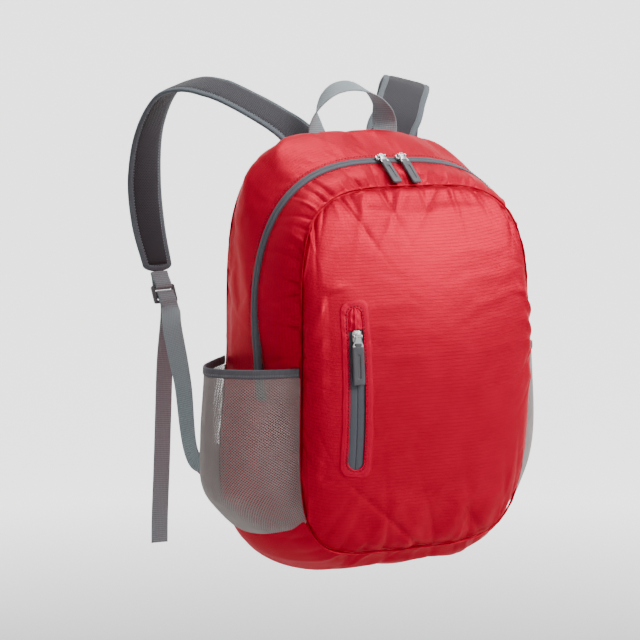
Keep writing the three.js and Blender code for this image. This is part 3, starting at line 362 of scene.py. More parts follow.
def gusset_relief(s, t):
    turn = np.mod(s, 4.0)
    here = np.stack([turn * QUARTER, t * BAG_DEPTH], axis=-1)
    total = 0 * turn
    for s0, t0, s1, t1, wide, high in GUSSET_FOLDS:
        start, end = (s0 * QUARTER, t0 * BAG_DEPTH), (s1 * QUARTER, t1 * BAG_DEPTH)
        total = total + high * FOLD_HEIGHT * ridge(here, start, end, wide * BAG_DEPTH)
    return total * np.clip(np.minimum(t, 1 - t) / 0.12, 0, 1)


def draw_creases(seed, start, end, pitch, reach, height, lean=0.25):
    """Creases along a seam: their places, reaches, heights, widths and leans, each a little different."""
    chance = np.random.default_rng(seed)
    places = [start]
    while places[-1] < end:
        places.append(places[-1] + pitch * chance.uniform(0.55, 1.45))
    count = len(places)
    return {
        "place": np.array(places),
        "reach": reach * chance.uniform(0.5, 1.5, count),
        "height": height * chance.uniform(0.4, 1.0, count) * np.where(np.arange(count) % 3, -1, 0.7),
        "wide": pitch * chance.uniform(0.16, 0.3, count),
        "lean": chance.normal(0, lean, count),
    }


def crease_relief(creases, place, away):
    """The height that a seam's creases give, at places along the seam and distances away from it."""
    total = 0 * place
    for k in range(len(creases["place"])):
        middle = creases["place"][k] + creases["lean"][k] * away
        across = np.exp(-np.abs((place - middle) / creases["wide"][k]) ** 1.5)
        total = total + creases["height"][k] * across * np.exp(-((away / creases["reach"][k]) ** 1.4))
    return total * np.clip(away / 0.004, 0, 1)


print("folds:", len(GUSSET_FOLDS), "on the gussets,", len(PANEL_FOLDS), "on the front panel")

# %% [markdown]
# ## The front panel's grid
# The front panel fills the outline of the front seam. A grid is stretched between the four sides of
# that outline, and its middle is pushed forward into the belly of a filled bag.

# %% Front panel points
GRID_CORNERS = {"top_right": 0.62, "base_right": 1.42, "base_left": 2.58, "top_left": 3.38}
SLOT_WIDTH = 0.016
SLOT_LENGTH = 0.163
WELT_WIDTH = 0.008
SLOT_ACROSS = 0.25
SLOT_DOWN = 0.546
FLAT_MARGIN = 0.008


def inside(t, u, v):
    """Places inside the outline at t, for shares u from its left and v from its top."""
    c = GRID_CORNERS
    top = shell(c["top_left"] - 4 + u * (c["top_right"] - c["top_left"] + 4), t)
    base = shell(c["base_left"] + u * (c["base_right"] - c["base_left"]), t)
    left = shell(c["top_left"] + v * (c["base_left"] - c["top_left"]), t)
    right = shell(c["top_right"] + v * (c["base_right"] - c["top_right"]), t)
    corners = [shell(np.array(c[name]), t) for name in ("top_left", "top_right", "base_left", "base_right")]
    u, v = u[..., None], v[..., None]
    across = top * (1 - v) + base * v + left * (1 - u) + right * u
    twice = corners[0] * (1 - u) * (1 - v) + corners[1] * u * (1 - v) + corners[2] * (1 - u) * v + corners[3] * u * v
    return across - twice


panel_width = 2 * ring(1.0, np.array([1.0]))[0, 0]
panel_height = ring(1.0, np.array([0.0]))[0, 2] - ring(1.0, np.array([2.0]))[0, 2]


def front_panel(u, v):
    """The smooth front panel, without folds."""
    u, v = np.broadcast_arrays(np.asarray(u, float), np.asarray(v, float))
    points = inside(1.0, u, v).copy()
    hump = np.clip((1 - (2 * u - 1) ** 2) * (1 - (2 * v - 1) ** 2), 0, 1) ** 0.75
    points[..., 1] -= FRONT_BULGE * hump * (0.75 + 0.5 * v)
    return points


def front_normal(u, v):
    d = 0.01
    across = front_panel(np.minimum(u + d, 1), v) - front_panel(np.maximum(u - d, 0), v)
    down = front_panel(u, np.minimum(v + d, 1)) - front_panel(u, np.maximum(v - d, 0))
    found = np.cross(down, across)
    return found / np.linalg.norm(found, axis=-1, keepdims=True)


NEAR = 0.02
middle = front_panel(SLOT_ACROSS, SLOT_DOWN)
across_rate = np.linalg.norm(front_panel(SLOT_ACROSS + NEAR, SLOT_DOWN) - middle) / NEAR
down_rate = np.linalg.norm(front_panel(SLOT_ACROSS, SLOT_DOWN + NEAR) - middle) / NEAR


def slot_place(right, up, height=0.0):
    """A place beside the front pocket's slot, in metres right of, above and off its centre."""
    u = SLOT_ACROSS + np.asarray(right, float) / across_rate
    v = SLOT_DOWN - np.asarray(up, float) / down_rate
    return front_panel(u, v) + front_normal(u, v) * np.asarray(height, float)[..., None]


def panel_relief(u, v):
    here = np.stack([u * panel_width, v * panel_height], axis=-1)
    total = 0 * u
    for u0, v0, u1, v1, wide, high in PANEL_FOLDS:
        start, end = (u0 * panel_width, v0 * panel_height), (u1 * panel_width, v1 * panel_height)
        total = total + high * FOLD_HEIGHT * ridge(here, start, end, wide * panel_height)
    rim = np.clip(np.minimum(np.minimum(u, 1 - u), np.minimum(v, 1 - v)) / 0.03, 0, 1)
    beside = np.abs(u - SLOT_ACROSS) * panel_width - SLOT_WIDTH / 2 - WELT_WIDTH
    beyond = np.abs(v - SLOT_DOWN) * panel_height - SLOT_LENGTH / 2 - WELT_WIDTH
    clear = np.clip((np.maximum(beside, beyond) - FLAT_MARGIN) / FLAT_MARGIN, 0, 1)
    return total * rim * clear


print("front panel", round(panel_width, 3), "by", round(panel_height, 3), "m")

# %% [markdown]
# ## Cloth that relaxes
# Each panel starts as a grid of small squares on the shell. It is then given a little more cloth along
# its seams than the seams have room for, and air behind it, and Blender's cloth simulation settles it:
# the spare cloth buckles into gathers, and the air keeps the middle full. The seams are held still, so
# that the panels still meet.

# %% Grids, cloth objects and the simulation
def grid_faces(columns, rows):
    index = np.arange(columns * rows).reshape(columns, rows)
    quads = np.stack([index[:-1, :-1], index[1:, :-1], index[1:, 1:], index[:-1, 1:]], axis=-1)
    return quads.reshape(-1, 4)


def cloth_lengths(grid):
    """Distances along both ways of a grid of points, counted from its middle, in metres."""
    across = np.linalg.norm(np.diff(grid, axis=0), axis=2)
    down = np.linalg.norm(np.diff(grid, axis=1), axis=2)
    first = np.concatenate([np.zeros((1, grid.shape[1])), np.cumsum(across, axis=0)])
    second = np.concatenate([np.zeros((grid.shape[0], 1)), np.cumsum(down, axis=1)], axis=1)
    first -= first[grid.shape[0] // 2][None, :]
    second -= second[:, grid.shape[1] // 2][:, None]
    return np.stack([first, second], axis=-1).reshape(-1, 2)


def add_object(name, points, faces, lengths=None, finish=None):
    """A new mesh object at the origin, with its cloth lengths as a UV map."""
    mesh = bpy.data.meshes.new(name)
    mesh.from_pydata(np.asarray(points, float).reshape(-1, 3).tolist(), [], [tuple(map(int, f)) for f in faces])
    if lengths is not None:
        layer = mesh.uv_layers.new(name="cloth")
        corners = np.empty(len(mesh.loops), dtype=np.int32)
        mesh.loops.foreach_get("vertex_index", corners)
        layer.data.foreach_set("uv", np.asarray(lengths, np.float32)[corners].ravel())
    mesh.polygons.foreach_set("use_smooth", np.ones(len(mesh.polygons), dtype=bool))
    mesh.update()
    obj = bpy.data.objects.new(name, mesh)
    bpy.context.scene.collection.objects.link(obj)
    if finish is not None:
        mesh.materials.append(finish)
    return obj


def only(obj):
    """Selects one object and makes it the active one."""
    bpy.ops.object.select_all(action="DESELECT")
    obj.select_set(True)
    bpy.context.view_layer.objects.active = obj


def apply_all(obj):
    only(obj)
    for modifier in list(obj.modifiers):
        bpy.ops.object.modifier_apply(modifier=modifier.name)


SIM_FRAMES = 28
REACH_LIMIT = 0.008


def relax(name, grid, held, spare, growth, push, stiffness=0.5):
    """How the simulation moves each point. held and spare are weights from 0 to 1 at each point."""
    start = grid.reshape(-1, 3)
    obj = add_object(name + "_sim", start, grid_faces(*grid.shape[:2]))
    for title, weights in (("held", held), ("spare", spare)):
        group = obj.vertex_groups.new(name=title)
        for number, weight in enumerate(np.asarray(weights, float).ravel()):
            if weight > 0.001:
                group.add([number], float(weight), "REPLACE")
    cloth = obj.modifiers.new("cloth", "CLOTH")
    settings = cloth.settings
    settings.quality = 6
    settings.mass = 0.1
    settings.tension_stiffness = 40
    settings.compression_stiffness = 40
    settings.shear_stiffness = 12
    settings.bending_stiffness = stiffness
    settings.air_damping = 3
    settings.vertex_group_mass = "held"
    settings.vertex_group_shrink = "spare"
    settings.shrink_min = 0.0
    settings.shrink_max = -growth
    settings.use_pressure = True
    settings.uniform_pressure_force = push
    settings.effector_weights.gravity = 0
    cloth.collision_settings.use_collision = False
    cloth.point_cache.frame_start = 1
    cloth.point_cache.frame_end = SIM_FRAMES
    for number in range(1, SIM_FRAMES + 1):
        bpy.context.scene.frame_set(number)
    only(obj)
    bpy.ops.object.modifier_apply(modifier=cloth.name)
    settled = np.empty(len(start) * 3)
    obj.data.vertices.foreach_get("co", settled)
    settled = settled.reshape(-1, 3)
    mesh = obj.data
    bpy.data.objects.remove(obj)
    bpy.data.meshes.remove(mesh)
    bpy.context.scene.frame_set(1)
    move = settled - start
    length = np.linalg.norm(move, axis=1, keepdims=True)
    capped = np.where(length > REACH_LIMIT, move * REACH_LIMIT / np.maximum(length, 1e-9), move)
    print(name, "moved up to", round(float(length.max()) * 1000, 1), "mm")
    return capped.reshape(grid.shape)


def enlarge(field):
    """A field on a grid with one more point between each two, smooth through the old points."""
    for axis in (0, 1):
        field = np.moveaxis(field, axis, 0)
        padded = np.concatenate([2 * field[:1] - field[1:2], field, 2 * field[-1:] - field[-2:-1]])
        between = (9 * (padded[1:-2] + padded[2:-1]) - padded[:-3] - padded[3:]) / 16
        grown = np.empty((2 * len(field) - 1, *field.shape[1:]))
        grown[0::2], grown[1::2] = field, between
        field = np.moveaxis(grown, 0, axis)
    return field


def face_outwards(obj, centre=(0.0, -0.07, 0.0)):
    """Turns an open sheet's faces away from a point inside the bag."""
    mesh = obj.data
    normals = np.empty(len(mesh.polygons) * 3)
    middles = np.empty(len(mesh.polygons) * 3)
    mesh.polygons.foreach_get("normal", normals)
    mesh.polygons.foreach_get("center", middles)
    outward = ((middles.reshape(-1, 3) - np.array(centre)) * normals.reshape(-1, 3)).sum()
    if outward < 0:
        mesh.flip_normals()


def finish_cloth(obj, wall):
    """Gives a sheet a wall that grows inwards."""
    face_outwards(obj)
    thick = obj.modifiers.new("wall", "SOLIDIFY")
    thick.thickness = wall
    thick.offset = -1
    apply_all(obj)


print("cloth tools ready")

# %% [markdown]
# ## Materials
# Thin coated ripstop is half satin: it shines softly along folds, and a fine grid of thicker threads is
# woven into it. The grid is drawn on the cloth's own lengths, so it bends with the cloth. Net, webbing
# and zip tape are matt, because their surface is broken up by their own weave.

# %% Colours and the ripstop
def paint(red, green, blue):
    """A screen colour as the linear numbers that shaders work with."""
    linear = [((c / 255 + 0.055) / 1.055) ** 2.4 if c > 10 else c / 255 / 12.92 for c in (red, green, blue)]
    return (*linear, 1.0)


CELL = 0.0035


def make_ripstop(name, deep, bright, gloss=0.43):
    """Coated cloth whose shine takes the colour of its threads, as a metal's does."""
    finish = Finish(
        name, Metallic=0.4, Specular_IOR_Level=0.12, Specular_Tint=(1.0, 0.3, 0.34, 1.0),
        Sheen_Weight=0.04, Sheen_Tint=paint(255, 60, 60),
    )
    u, v, uv = finish.along()
    here = finish.place()
    across = ((u / CELL).fraction() - 0.5).size()
    down = ((v / CELL).fraction() - 0.5).size()
    lines = down.above(0.4).most(across.above(0.46) * 0.6)
    weave = (u * 9000).sine() * (v * 9000).sine()
    cloud = finish.noise(here, 30.0, 4.0, 0.6)
    fine = finish.noise(here, 900.0)
    tone = finish.blend(cloud, deep, bright)
    darker = (*(channel * 0.62 for channel in deep[:3]), 1.0)
    dotted = lines * ((u * (2 * math.pi / CELL * 2)).sine() * 0.25 + 0.75)
    finish.set(Base_Color=finish.blend(dotted * 0.34, tone, darker))
    finish.set(Roughness=gloss + (cloud - 0.5) * 0.12 + (fine - 0.5) * 0.08)
    crinkle = finish.noise(here, 110.0, 4.0, 0.5)
    ground = finish.bump(crinkle, 0.0006, 0.3)
    finish.set(Normal=finish.bump(lines + weave * 0.15, 0.00015, 0.6, under=ground))
    return finish.material


ripstop = make_ripstop("ripstop", paint(170, 0, 38), paint(198, 4, 50))
print("ripstop ready")

# %% Webbing, tape, net and the hard pieces
def make_ribbed(name, base, rib, pitch, depth=0.0002, roughness=0.8):
    """A woven band: ribs across its length and fine cords along it."""
    finish = Finish(name, Sheen_Weight=0.1, Specular_IOR_Level=0.25)
    u, v, uv = finish.along()
    here = finish.place()
    ribs = (u * (2 * math.pi / pitch)).sine() * 0.5 + 0.5
    cords = (v * (2 * math.pi / (pitch * 0.8))).sine() * 0.5 + 0.5
    woven = ribs * 0.6 + cords * 0.4
    fuzz = finish.noise(here, 700.0, 3.0)
    tone = finish.blend(woven * 0.6 + fuzz * 0.4, base, rib)
    finish.set(Base_Color=tone, Roughness=roughness + (fuzz - 0.5) * 0.1)
    finish.set(Normal=finish.bump(woven + fuzz * 0.3, depth, 0.8))
    return finish.material


def make_plain(name, base, other, roughness, scale=300.0, depth=0.00005, **constants):
    """A hard or moulded piece with a faint grain."""
    finish = Finish(name, **constants)
    here = finish.place()
    grain = finish.noise(here, scale, 3.0)
    wear = finish.noise(here, scale / 12, 2.0)
    finish.set(Base_Color=finish.blend(wear, base, other), Roughness=roughness + (grain - 0.5) * 0.12)
    finish.set(Normal=finish.bump(grain, depth, 0.4))
    return finish.material


zip_tape = make_ribbed("zip_tape", paint(60, 62, 70), paint(88, 90, 98), 0.0011, 0.00012, 0.6)
binding_cloth = make_ribbed("binding_cloth", paint(70, 76, 82), paint(102, 110, 116), 0.0018, 0.0003)
webbing_cloth = make_ribbed("webbing_cloth", paint(104, 113, 118), paint(158, 168, 172), 0.0022, 0.0004)
hem_cloth = make_ribbed("hem_cloth", paint(70, 68, 74), paint(104, 101, 107), 0.0016)
net_thread = make_plain("net_thread", paint(160, 152, 150), paint(182, 173, 170), 0.75, 900.0, 0.0001)
welt_cloth = make_ripstop("welt_cloth", paint(184, 0, 46), paint(206, 4, 56), 0.5)
thread_red = make_plain("thread_red", paint(84, 0, 14), paint(112, 0, 22), 0.7, 2000.0)
thread_grey = make_plain("thread_grey", paint(136, 144, 148), paint(168, 174, 178), 0.6, 2000.0)
bright_metal = make_plain("bright_metal", paint(196, 196, 198), paint(226, 226, 226), 0.34, 500.0, Metallic=0.9)
grip_rubber = make_plain("grip_rubber", paint(70, 70, 75), paint(86, 86, 91), 0.5, 260.0)
buckle_plastic = make_plain("buckle_plastic", paint(74, 76, 80), paint(88, 90, 94), 0.42, 260.0)


def make_spacer_mesh(name, base, rib, pitch=0.0034):
    """The open knit of a padded strap, with staggered rows of small holes whose near-black colour is painted shade."""
    finish = Finish(name, Sheen_Weight=0.1, Specular_IOR_Level=0.2)
    u, v, uv = finish.along()
    here = finish.place()
    along = (u * (2 * math.pi / pitch)).sine()
    aside = (v * (2 * math.pi / (pitch * 0.8))).sine()
    holes = ((along * aside - 0.12) * 2.6).most(0.0).least(1.0)
    fuzz = finish.noise(here, 800.0, 3.0)
    # Painted shade: the holes take the near-black colour, for the shade inside the knit's openings.
    finish.set(Base_Color=finish.blend(holes, rib, base), Roughness=0.85 + (fuzz - 0.5) * 0.1)
    finish.set(Normal=finish.bump(-holes + fuzz * 0.2, 0.0005, 0.9))
    return finish.material


# The first colour is the painted shade in the holes, the second the knit's threads.
spacer_mesh = make_spacer_mesh("spacer_mesh", paint(12, 11, 14), paint(60, 58, 64))
print("materials:", len(bpy.data.materials))

# %% [markdown]
# ## The stage
# The bag is worn high above the ground, so the pale floor lies well below it and curves up behind it.
# Far from the bag the floor and its wall carry a painted glow, strongest behind the bag's right. A large
# soft light stands over the upper right, as the shine on the top of the bag and on the front panel shows, and a wide
# weak one fills the lower left.

# %% Floor, backdrop and lights
FLOOR_LEVEL = -0.62


def make_backdrop():
    """A round floor whose rim curves up into a wall, so that the bag has paper behind it from every side."""
    profile = [(0.02, 0.0), (0.6, 0.0), (1.4, 0.0)]
    profile += [(2.2 + 0.9 * math.sin(a), 0.9 - 0.9 * math.cos(a)) for a in np.linspace(0, math.pi / 2, 24)]
    profile += [(3.1, 4.0)]
    turns = np.linspace(0, 2 * math.pi, 97)[:-1]
    points = [(r * math.cos(a), r * math.sin(a), z + FLOOR_LEVEL) for a in turns for r, z in profile]
    count, around = len(profile), len(turns)
    faces = [tuple(range(0, around * count, count))]
    for k in range(around):
        here, there = k * count, (k + 1) % around * count
        faces += [(here + j, here + j + 1, there + j + 1, there + j) for j in range(count - 1)]
    return add_object("backdrop", points, faces, finish=pale)


def make_glowing_paper():
    """Pale paper with a painted glow: it emits light far off, most behind the bag's right, so that its base and left
    side stay in shade.
    """
    finish = Finish("glowing_paper", Base_Color=(0.5, 0.5, 0.5, 1.0), Roughness=0.95, Emission_Strength=1.9)
    here = finish.place()
    away = finish.node("VectorMath", 1, {"operation": "LENGTH"}, Vector=here)
    behind = finish.node("VectorMath", 1, {"operation": "DOT_PRODUCT"}, Vector=here)
    behind.socket.node.inputs[1].default_value = (0.47, 0.88, 0.0)
    # Painted glow: the paper's emission grows with distance from the bag and is strongest behind its right.
    lit_side = ((behind / away - 0.45) / 0.4).most(0.0).least(1.0) * 0.94 + 0.06
    glow = ((away - 1.0) / 1.3).most(0.0).least(1.0) * lit_side
    finish.set(Emission_Color=finish.blend(glow, (0.0, 0.0, 0.0, 1.0), (1.0, 1.0, 1.0, 1.0)))
    return finish.material


pale = make_glowing_paper()
backdrop = make_backdrop()


def add_light(name, place, size, power, colour=(1.0, 1.0, 1.0), aim=(0.0, -0.1, 0.02)):
    data = bpy.data.lights.new(name, "AREA")
    data.shape = "RECTANGLE"
    data.size, data.size_y = size
    data.energy = power
    data.color = colour
    light = bpy.data.objects.new(name, data)
    bpy.context.scene.collection.objects.link(light)
    light.location = place
    light.rotation_euler = (Vector(place) - Vector(aim)).to_track_quat("Z", "Y").to_euler()
    return light


add_light("key_light", (1.25, -1.5, 1.5), (1.3, 1.0), 72.0)
add_light("top_light", (0.2, 0.3, 2.1), (1.4, 0.8), 44.0)
add_light("fill_light", (-2.2, -1.6, 0.5), (1.6, 1.8), 1.0, (0.96, 0.98, 1.0))
world = bpy.data.worlds.new("studio_air")
world.use_nodes = True
world.node_tree.nodes["Background"].inputs["Color"].default_value = (0.96, 0.97, 1.0, 1.0)
world.node_tree.nodes["Background"].inputs["Strength"].default_value = 0.06
bpy.context.scene.world = world
print("stage ready")

# %% [markdown]
# ## The five panels of the bag
# Each panel's grid keeps to the shell between its seams. The rows along a seam dip by a millimetre, as
# cloth does where it is turned in and sewn. The simulation runs on a coarse grid. Its movement is then
# put on a grid twice as fine, which also has room for the narrow creases that stand square to a seam.

# %% Seam edges and gusset grids
SEAM_INSET = 0.0004
SEAM_DIP = 0.0014
ZIP_DIP = 0.0005
CLOTH_WALL = 0.0006


def zip_line(s):
    away = np.where(np.mod(s, 4.0) > 2, 4 - np.mod(s, 4.0), np.mod(s, 4.0))
    return ZIP_AT + ZIP_BEND * np.clip((away - 0.75) / 0.4, 0, 1) ** 2


def beside_zip(s, side, distance):
    """The t that lies a distance from the zip's middle, on its rear (-1) or front (1) side."""
    near = np.linalg.norm(shell(s, zip_line(s) + side * 0.06) - shell(s, zip_line(s)), axis=-1)
    return zip_line(s) + side * 0.06 * distance / near


def strip(s_range, columns, rows, first, last):
    """The s and t of a strip of the gusset between t = first(s) and t = last(s)."""
    s = np.linspace(*s_range, columns)
    k = np.linspace(0, 1, rows)[None, :]
    return np.repeat(s[:, None], rows, axis=1), first(s)[:, None] * (1 - k) + last(s)[:, None] * k


def distances(points):
    """How far each point of a strip lies from its first and its last edge."""
    down = np.linalg.norm(np.diff(points, axis=1), axis=2)
    run = np.concatenate([np.zeros((points.shape[0], 1)), np.cumsum(down, axis=1)], axis=1)
    return run, run[:, -1:] - run


def rim_weights(shape):
    held = np.zeros(shape)
    held[:, 0] = held[:, -1] = held[0, :] = held[-1, :] = 1
    return held


def dress(piece, node, body=ROOT):
    """Puts a piece on the body it rides on, and hides the solid it stands for."""
    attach(piece, body)
    if node:
        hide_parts(node)


def make_gusset(name, s_range, columns, rows, first, last, dips, creases, growth, push):
    s, t = strip(s_range, columns, rows, first, last)
    coarse = shell(s, t) + shell_normal(s, t) * gusset_relief(s, t)[..., None]
    from_first, from_last = distances(coarse)
    spare = np.clip(0.1 + np.exp(-from_first / 0.02) * 0.6 + np.exp(-from_last / 0.02), 0, 1)
    move = relax(name, coarse, rim_weights(coarse.shape[:2]), spare, growth, push)
    s, t = strip(s_range, 2 * columns - 1, 2 * rows - 1, first, last)
    base = shell(s, t)
    from_first, from_last = distances(base)
    relief = gusset_relief(s, t) - dips[0] * np.exp(-from_first / 0.0025) - dips[1] * np.exp(-from_last / 0.0025)
    for seam, away in zip(creases, (from_first, from_last)):
        relief = relief + crease_relief(seam, s * QUARTER, away) * np.clip((from_first + from_last - away) / 0.004, 0, 1)
    points = base + shell_normal(s, t) * relief[..., None] + enlarge(move)
    panel = add_object(name + "_cloth", points, grid_faces(*points.shape[:2]), cloth_lengths(base), ripstop)
    finish_cloth(panel, CLOTH_WALL)
    dress(panel, name)
    return panel


# %% Rear, front and base gussets
BACK_SEAM = SEAM_INSET / BAG_DEPTH
FRONT_SEAM = 1 - BACK_SEAM
EDGE = ZIP_WIDTH / 2 - 0.0004
around_top = (-ZIP_END, ZIP_END)
around_base = (ZIP_END, 4 - ZIP_END)
top_span = (-ZIP_END * QUARTER, ZIP_END * QUARTER)
base_span = (ZIP_END * QUARTER, (4 - ZIP_END) * QUARTER)
make_gusset(
    "rear_gusset", around_top, 201, 20, lambda s: 0 * s + BACK_SEAM, lambda s: beside_zip(s, -1, EDGE),
    (SEAM_DIP, ZIP_DIP),
    (draw_creases(3, *top_span, 0.026, 0.034, 0.0018), draw_creases(5, *top_span, 0.03, 0.022, 0.0008)), 0.08, 0.8,
)
make_gusset(
    "front_gusset", around_top, 221, 13, lambda s: beside_zip(s, 1, EDGE), lambda s: 0 * s + FRONT_SEAM,
    (ZIP_DIP, SEAM_DIP),
    (draw_creases(7, *top_span, 0.017, 0.014, 0.0012), draw_creases(11, *top_span, 0.013, 0.026, 0.0032)), 0.08, 0.8,
)
make_gusset(
    "base_gusset", around_base, 161, 36, lambda s: 0 * s + BACK_SEAM, lambda s: 0 * s + FRONT_SEAM,
    (SEAM_DIP, SEAM_DIP),
    (draw_creases(13, *base_span, 0.026, 0.03, 0.0014), draw_creases(17, *base_span, 0.018, 0.034, 0.0034)), 0.1, 0.8,
)
print("gussets made")

# %% Front and back panels
def slot_distance(u, v):
    """How far a place lies outside the slot's edge, in metres; negative inside the slot."""
    right, up = (u - SLOT_ACROSS) * across_rate, (SLOT_DOWN - v) * down_rate
    straight = SLOT_LENGTH / 2 - SLOT_WIDTH / 2
    return np.hypot(right, np.maximum(np.abs(up) - straight, 0)) - SLOT_WIDTH / 2


def shares(columns, rows):
    return np.meshgrid(np.linspace(0, 1, columns), np.linspace(0, 1, rows), indexing="ij")


def panel_sides(u, v, wide, high):
    """The distances from a panel's top, bottom, left and right seam."""
    return v * high, (1 - v) * high, u * wide, (1 - u) * wide


def flat_near_slot(u, v, margin=0.012):
    return np.clip((slot_distance(u, v) - WELT_WIDTH) / margin, 0, 1)


def make_front():
    u, v = shares(80, 110)
    coarse = front_panel(u, v) + front_normal(u, v) * panel_relief(u, v)[..., None]
    top, base, left, right = panel_sides(u, v, panel_width, panel_height)
    held = (np.minimum.reduce([top, base, left, right]) < 1e-6) | (slot_distance(u, v) < WELT_WIDTH)
    spare = 0.02 + sum(np.exp(-away / 0.02) for away in (top, base, left, right))
    spare = np.clip(spare, 0, 1) * flat_near_slot(u, v)
    near_seam = np.exp(-np.minimum.reduce([top, base, left, right]) / 0.04)
    move = relax("front_panel", coarse, held.astype(float), spare, 0.07, 0.7) * (0.15 + 0.85 * near_seam)[..., None]
    u, v = shares(159, 219)
    top, base, left, right = panel_sides(u, v, panel_width, panel_height)
    relief = panel_relief(u, v)
    seams = (
        (top, left, draw_creases(19, 0.02, panel_width - 0.02, 0.012, 0.028, 0.0031)),
        (base, left, draw_creases(23, 0.03, panel_width - 0.02, 0.0145, 0.04, 0.0034)),
        (right, top, draw_creases(29, 0.05, panel_height - 0.05, 0.018, 0.024, 0.0024, 0.5)),
        (left, top, draw_creases(31, 0.05, panel_height - 0.03, 0.024, 0.026, 0.0018, 0.6)),
    )
    for away, place, creases in seams:
        relief = relief + crease_relief(creases, place, away)
    relief = relief * flat_near_slot(u, v)
    relief = relief - SEAM_DIP * np.exp(-np.minimum.reduce([top, base, left, right]) / 0.0025)
    points = front_panel(u, v) + front_normal(u, v) * relief[..., None] + enlarge(move)
    panel = add_object("front_panel_cloth", points, grid_faces(159, 219), cloth_lengths(points), ripstop)
    middle_u = (u[:-1, :-1] + u[1:, 1:]) / 2
    middle_v = (v[:-1, :-1] + v[1:, 1:]) / 2
    inside_slot = (slot_distance(middle_u, middle_v) < 0.0015).ravel()
    build = bmesh.new()
    build.from_mesh(panel.data)
    gone = [face for face, drop in zip(build.faces, inside_slot) if drop]
    bmesh.ops.delete(build, geom=gone, context="FACES")
    build.to_mesh(panel.data)
    build.free()
    finish_cloth(panel, CLOTH_WALL)
    dress(panel, "front_panel")
    return panel


def make_back():
    u, v = shares(81, 113)
    first, last = ring(0.0, np.array([0.0, 1.0])), ring(0.0, np.array([2.0]))
    high, wide = first[0, 2] - last[0, 2], 2 * first[1, 0]
    top, base, left, right = panel_sides(u, v, wide, high)
    relief = 0 * u
    for seed, (away, place) in enumerate(((top, left), (base, left), (left, top), (right, top))):
        relief = relief + crease_relief(draw_creases(41 + seed, 0.03, high - 0.03, 0.03, 0.04, 0.0022), place, away)
    relief = relief - SEAM_DIP * np.exp(-np.minimum.reduce([top, base, left, right]) / 0.0025)
    points = inside(0.0, u, v)
    points[..., 1] += relief
    panel = add_object("back_panel_cloth", points, grid_faces(81, 113), cloth_lengths(points), ripstop)
    finish_cloth(panel, CLOTH_WALL)
    dress(panel, "back_panel")
    return panel


def make_seam_roll():
    """The edge of the front seam, where two turned-in layers make a thin uneven roll."""
    turn = np.linspace(0, 4, 801)[:-1]
    around = np.linspace(0, 2 * np.pi, 9)[:-1, None]
    out = shell_normal(turn, 0.97)
    forward = np.array([0.0, -1.0, 0.0])
    uneven = np.sin(turn * 61) * 0.5 + np.sin(turn * 143 + 1) * 0.3 + np.sin(turn * 27 + 2) * 0.4
    middle = shell(turn, 1.0) + out * (0.0007 + 0.0002 * uneven)[:, None] + forward * 0.0010
    radius = (0.00095 + 0.0002 * uneven)[:, None, None]
    rings = middle[:, None] + radius * (out[:, None] * np.cos(around) + forward * np.sin(around))
    roll = loft("front_seam_roll", rings, ripstop, closed_along=True)
    dress(roll, None)


front_cloth = make_front()
back_cloth = make_back()
print("front:", len(front_cloth.data.polygons), "faces, back:", len(back_cloth.data.polygons), "faces")

# %% [markdown]
# ## Bands, lofts and stitches
# Zip tape, webbing, bindings and straps are all one section carried along a curve. The curve is the same
# smooth one that the solids use, so a band of cloth lies exactly where its solid lies.

# %% Curves, sections and lofts
def normalised(vectors):
    return vectors / np.linalg.norm(vectors, axis=-1, keepdims=True)


def curve_points(places, shares):
    """A centripetal curve through places, at shares from 0 to 1."""
    places = np.asarray(places, float)
    places = np.concatenate([[2 * places[0] - places[1]], places, [2 * places[-1] - places[-2]]])
    at = np.clip(shares, 0, 1) * (len(places) - 3)
    k = np.minimum(at.astype(int), len(places) - 4)
    w = (at - k)[:, None]
    p = [places[k + n] for n in range(4)]
    gap = [np.maximum(np.linalg.norm(p[n + 1] - p[n], axis=1), 1e-9)[:, None] ** 0.5 for n in range(3)]
    first = ((p[1] - p[0]) / gap[0] - (p[2] - p[0]) / (gap[0] + gap[1]) + (p[2] - p[1]) / gap[1]) * gap[1]
    last = ((p[2] - p[1]) / gap[1] - (p[3] - p[1]) / (gap[1] + gap[2]) + (p[3] - p[2]) / gap[2]) * gap[1]
    rise = -3 * p[1] + 3 * p[2] - 2 * first - last
    return p[1] + first * w + rise * w**2 + (2 * p[1] - 2 * p[2] + first + last) * w**3


def frames_along(places, widths, count):
    """Places and unit directions (along, wide, thick) at even shares of a curve."""
    shares_along = np.linspace(0, 1, count + 1)
    at = curve_points(places, shares_along)
    along = normalised(curve_points(places, shares_along + 1e-4) - curve_points(places, shares_along - 1e-4))
    step = shares_along * (len(places) - 1)
    k = np.minimum(step.astype(int), len(places) - 2)
    f = (step - k)[:, None]
    widths = np.asarray(widths, float)
    wide = widths[k] * (1 - f) + widths[k + 1] * f
    wide = normalised(wide - (wide * along).sum(axis=1, keepdims=True) * along)
    return {"at": at, "along": along, "wide": wide, "thick": np.cross(along, wide)}


def flat_section(width, wall, edge=4, crown=0.0, across=6):
    """A closed flat section with round edges, as (across, off) pairs; crown lifts its middle on both faces."""
    radius = wall / 2
    half = width / 2 - radius
    turn = np.linspace(-np.pi / 2, np.pi / 2, edge + 1)
    right = np.stack([half + radius * np.cos(turn), radius * np.sin(turn)], axis=1)
    x = np.linspace(half, -half, across + 2)[1:-1]
    upper = np.stack([x, radius + crown * (1 - (x / half) ** 2)], axis=1)
    return np.concatenate([right, upper, -right, -upper])


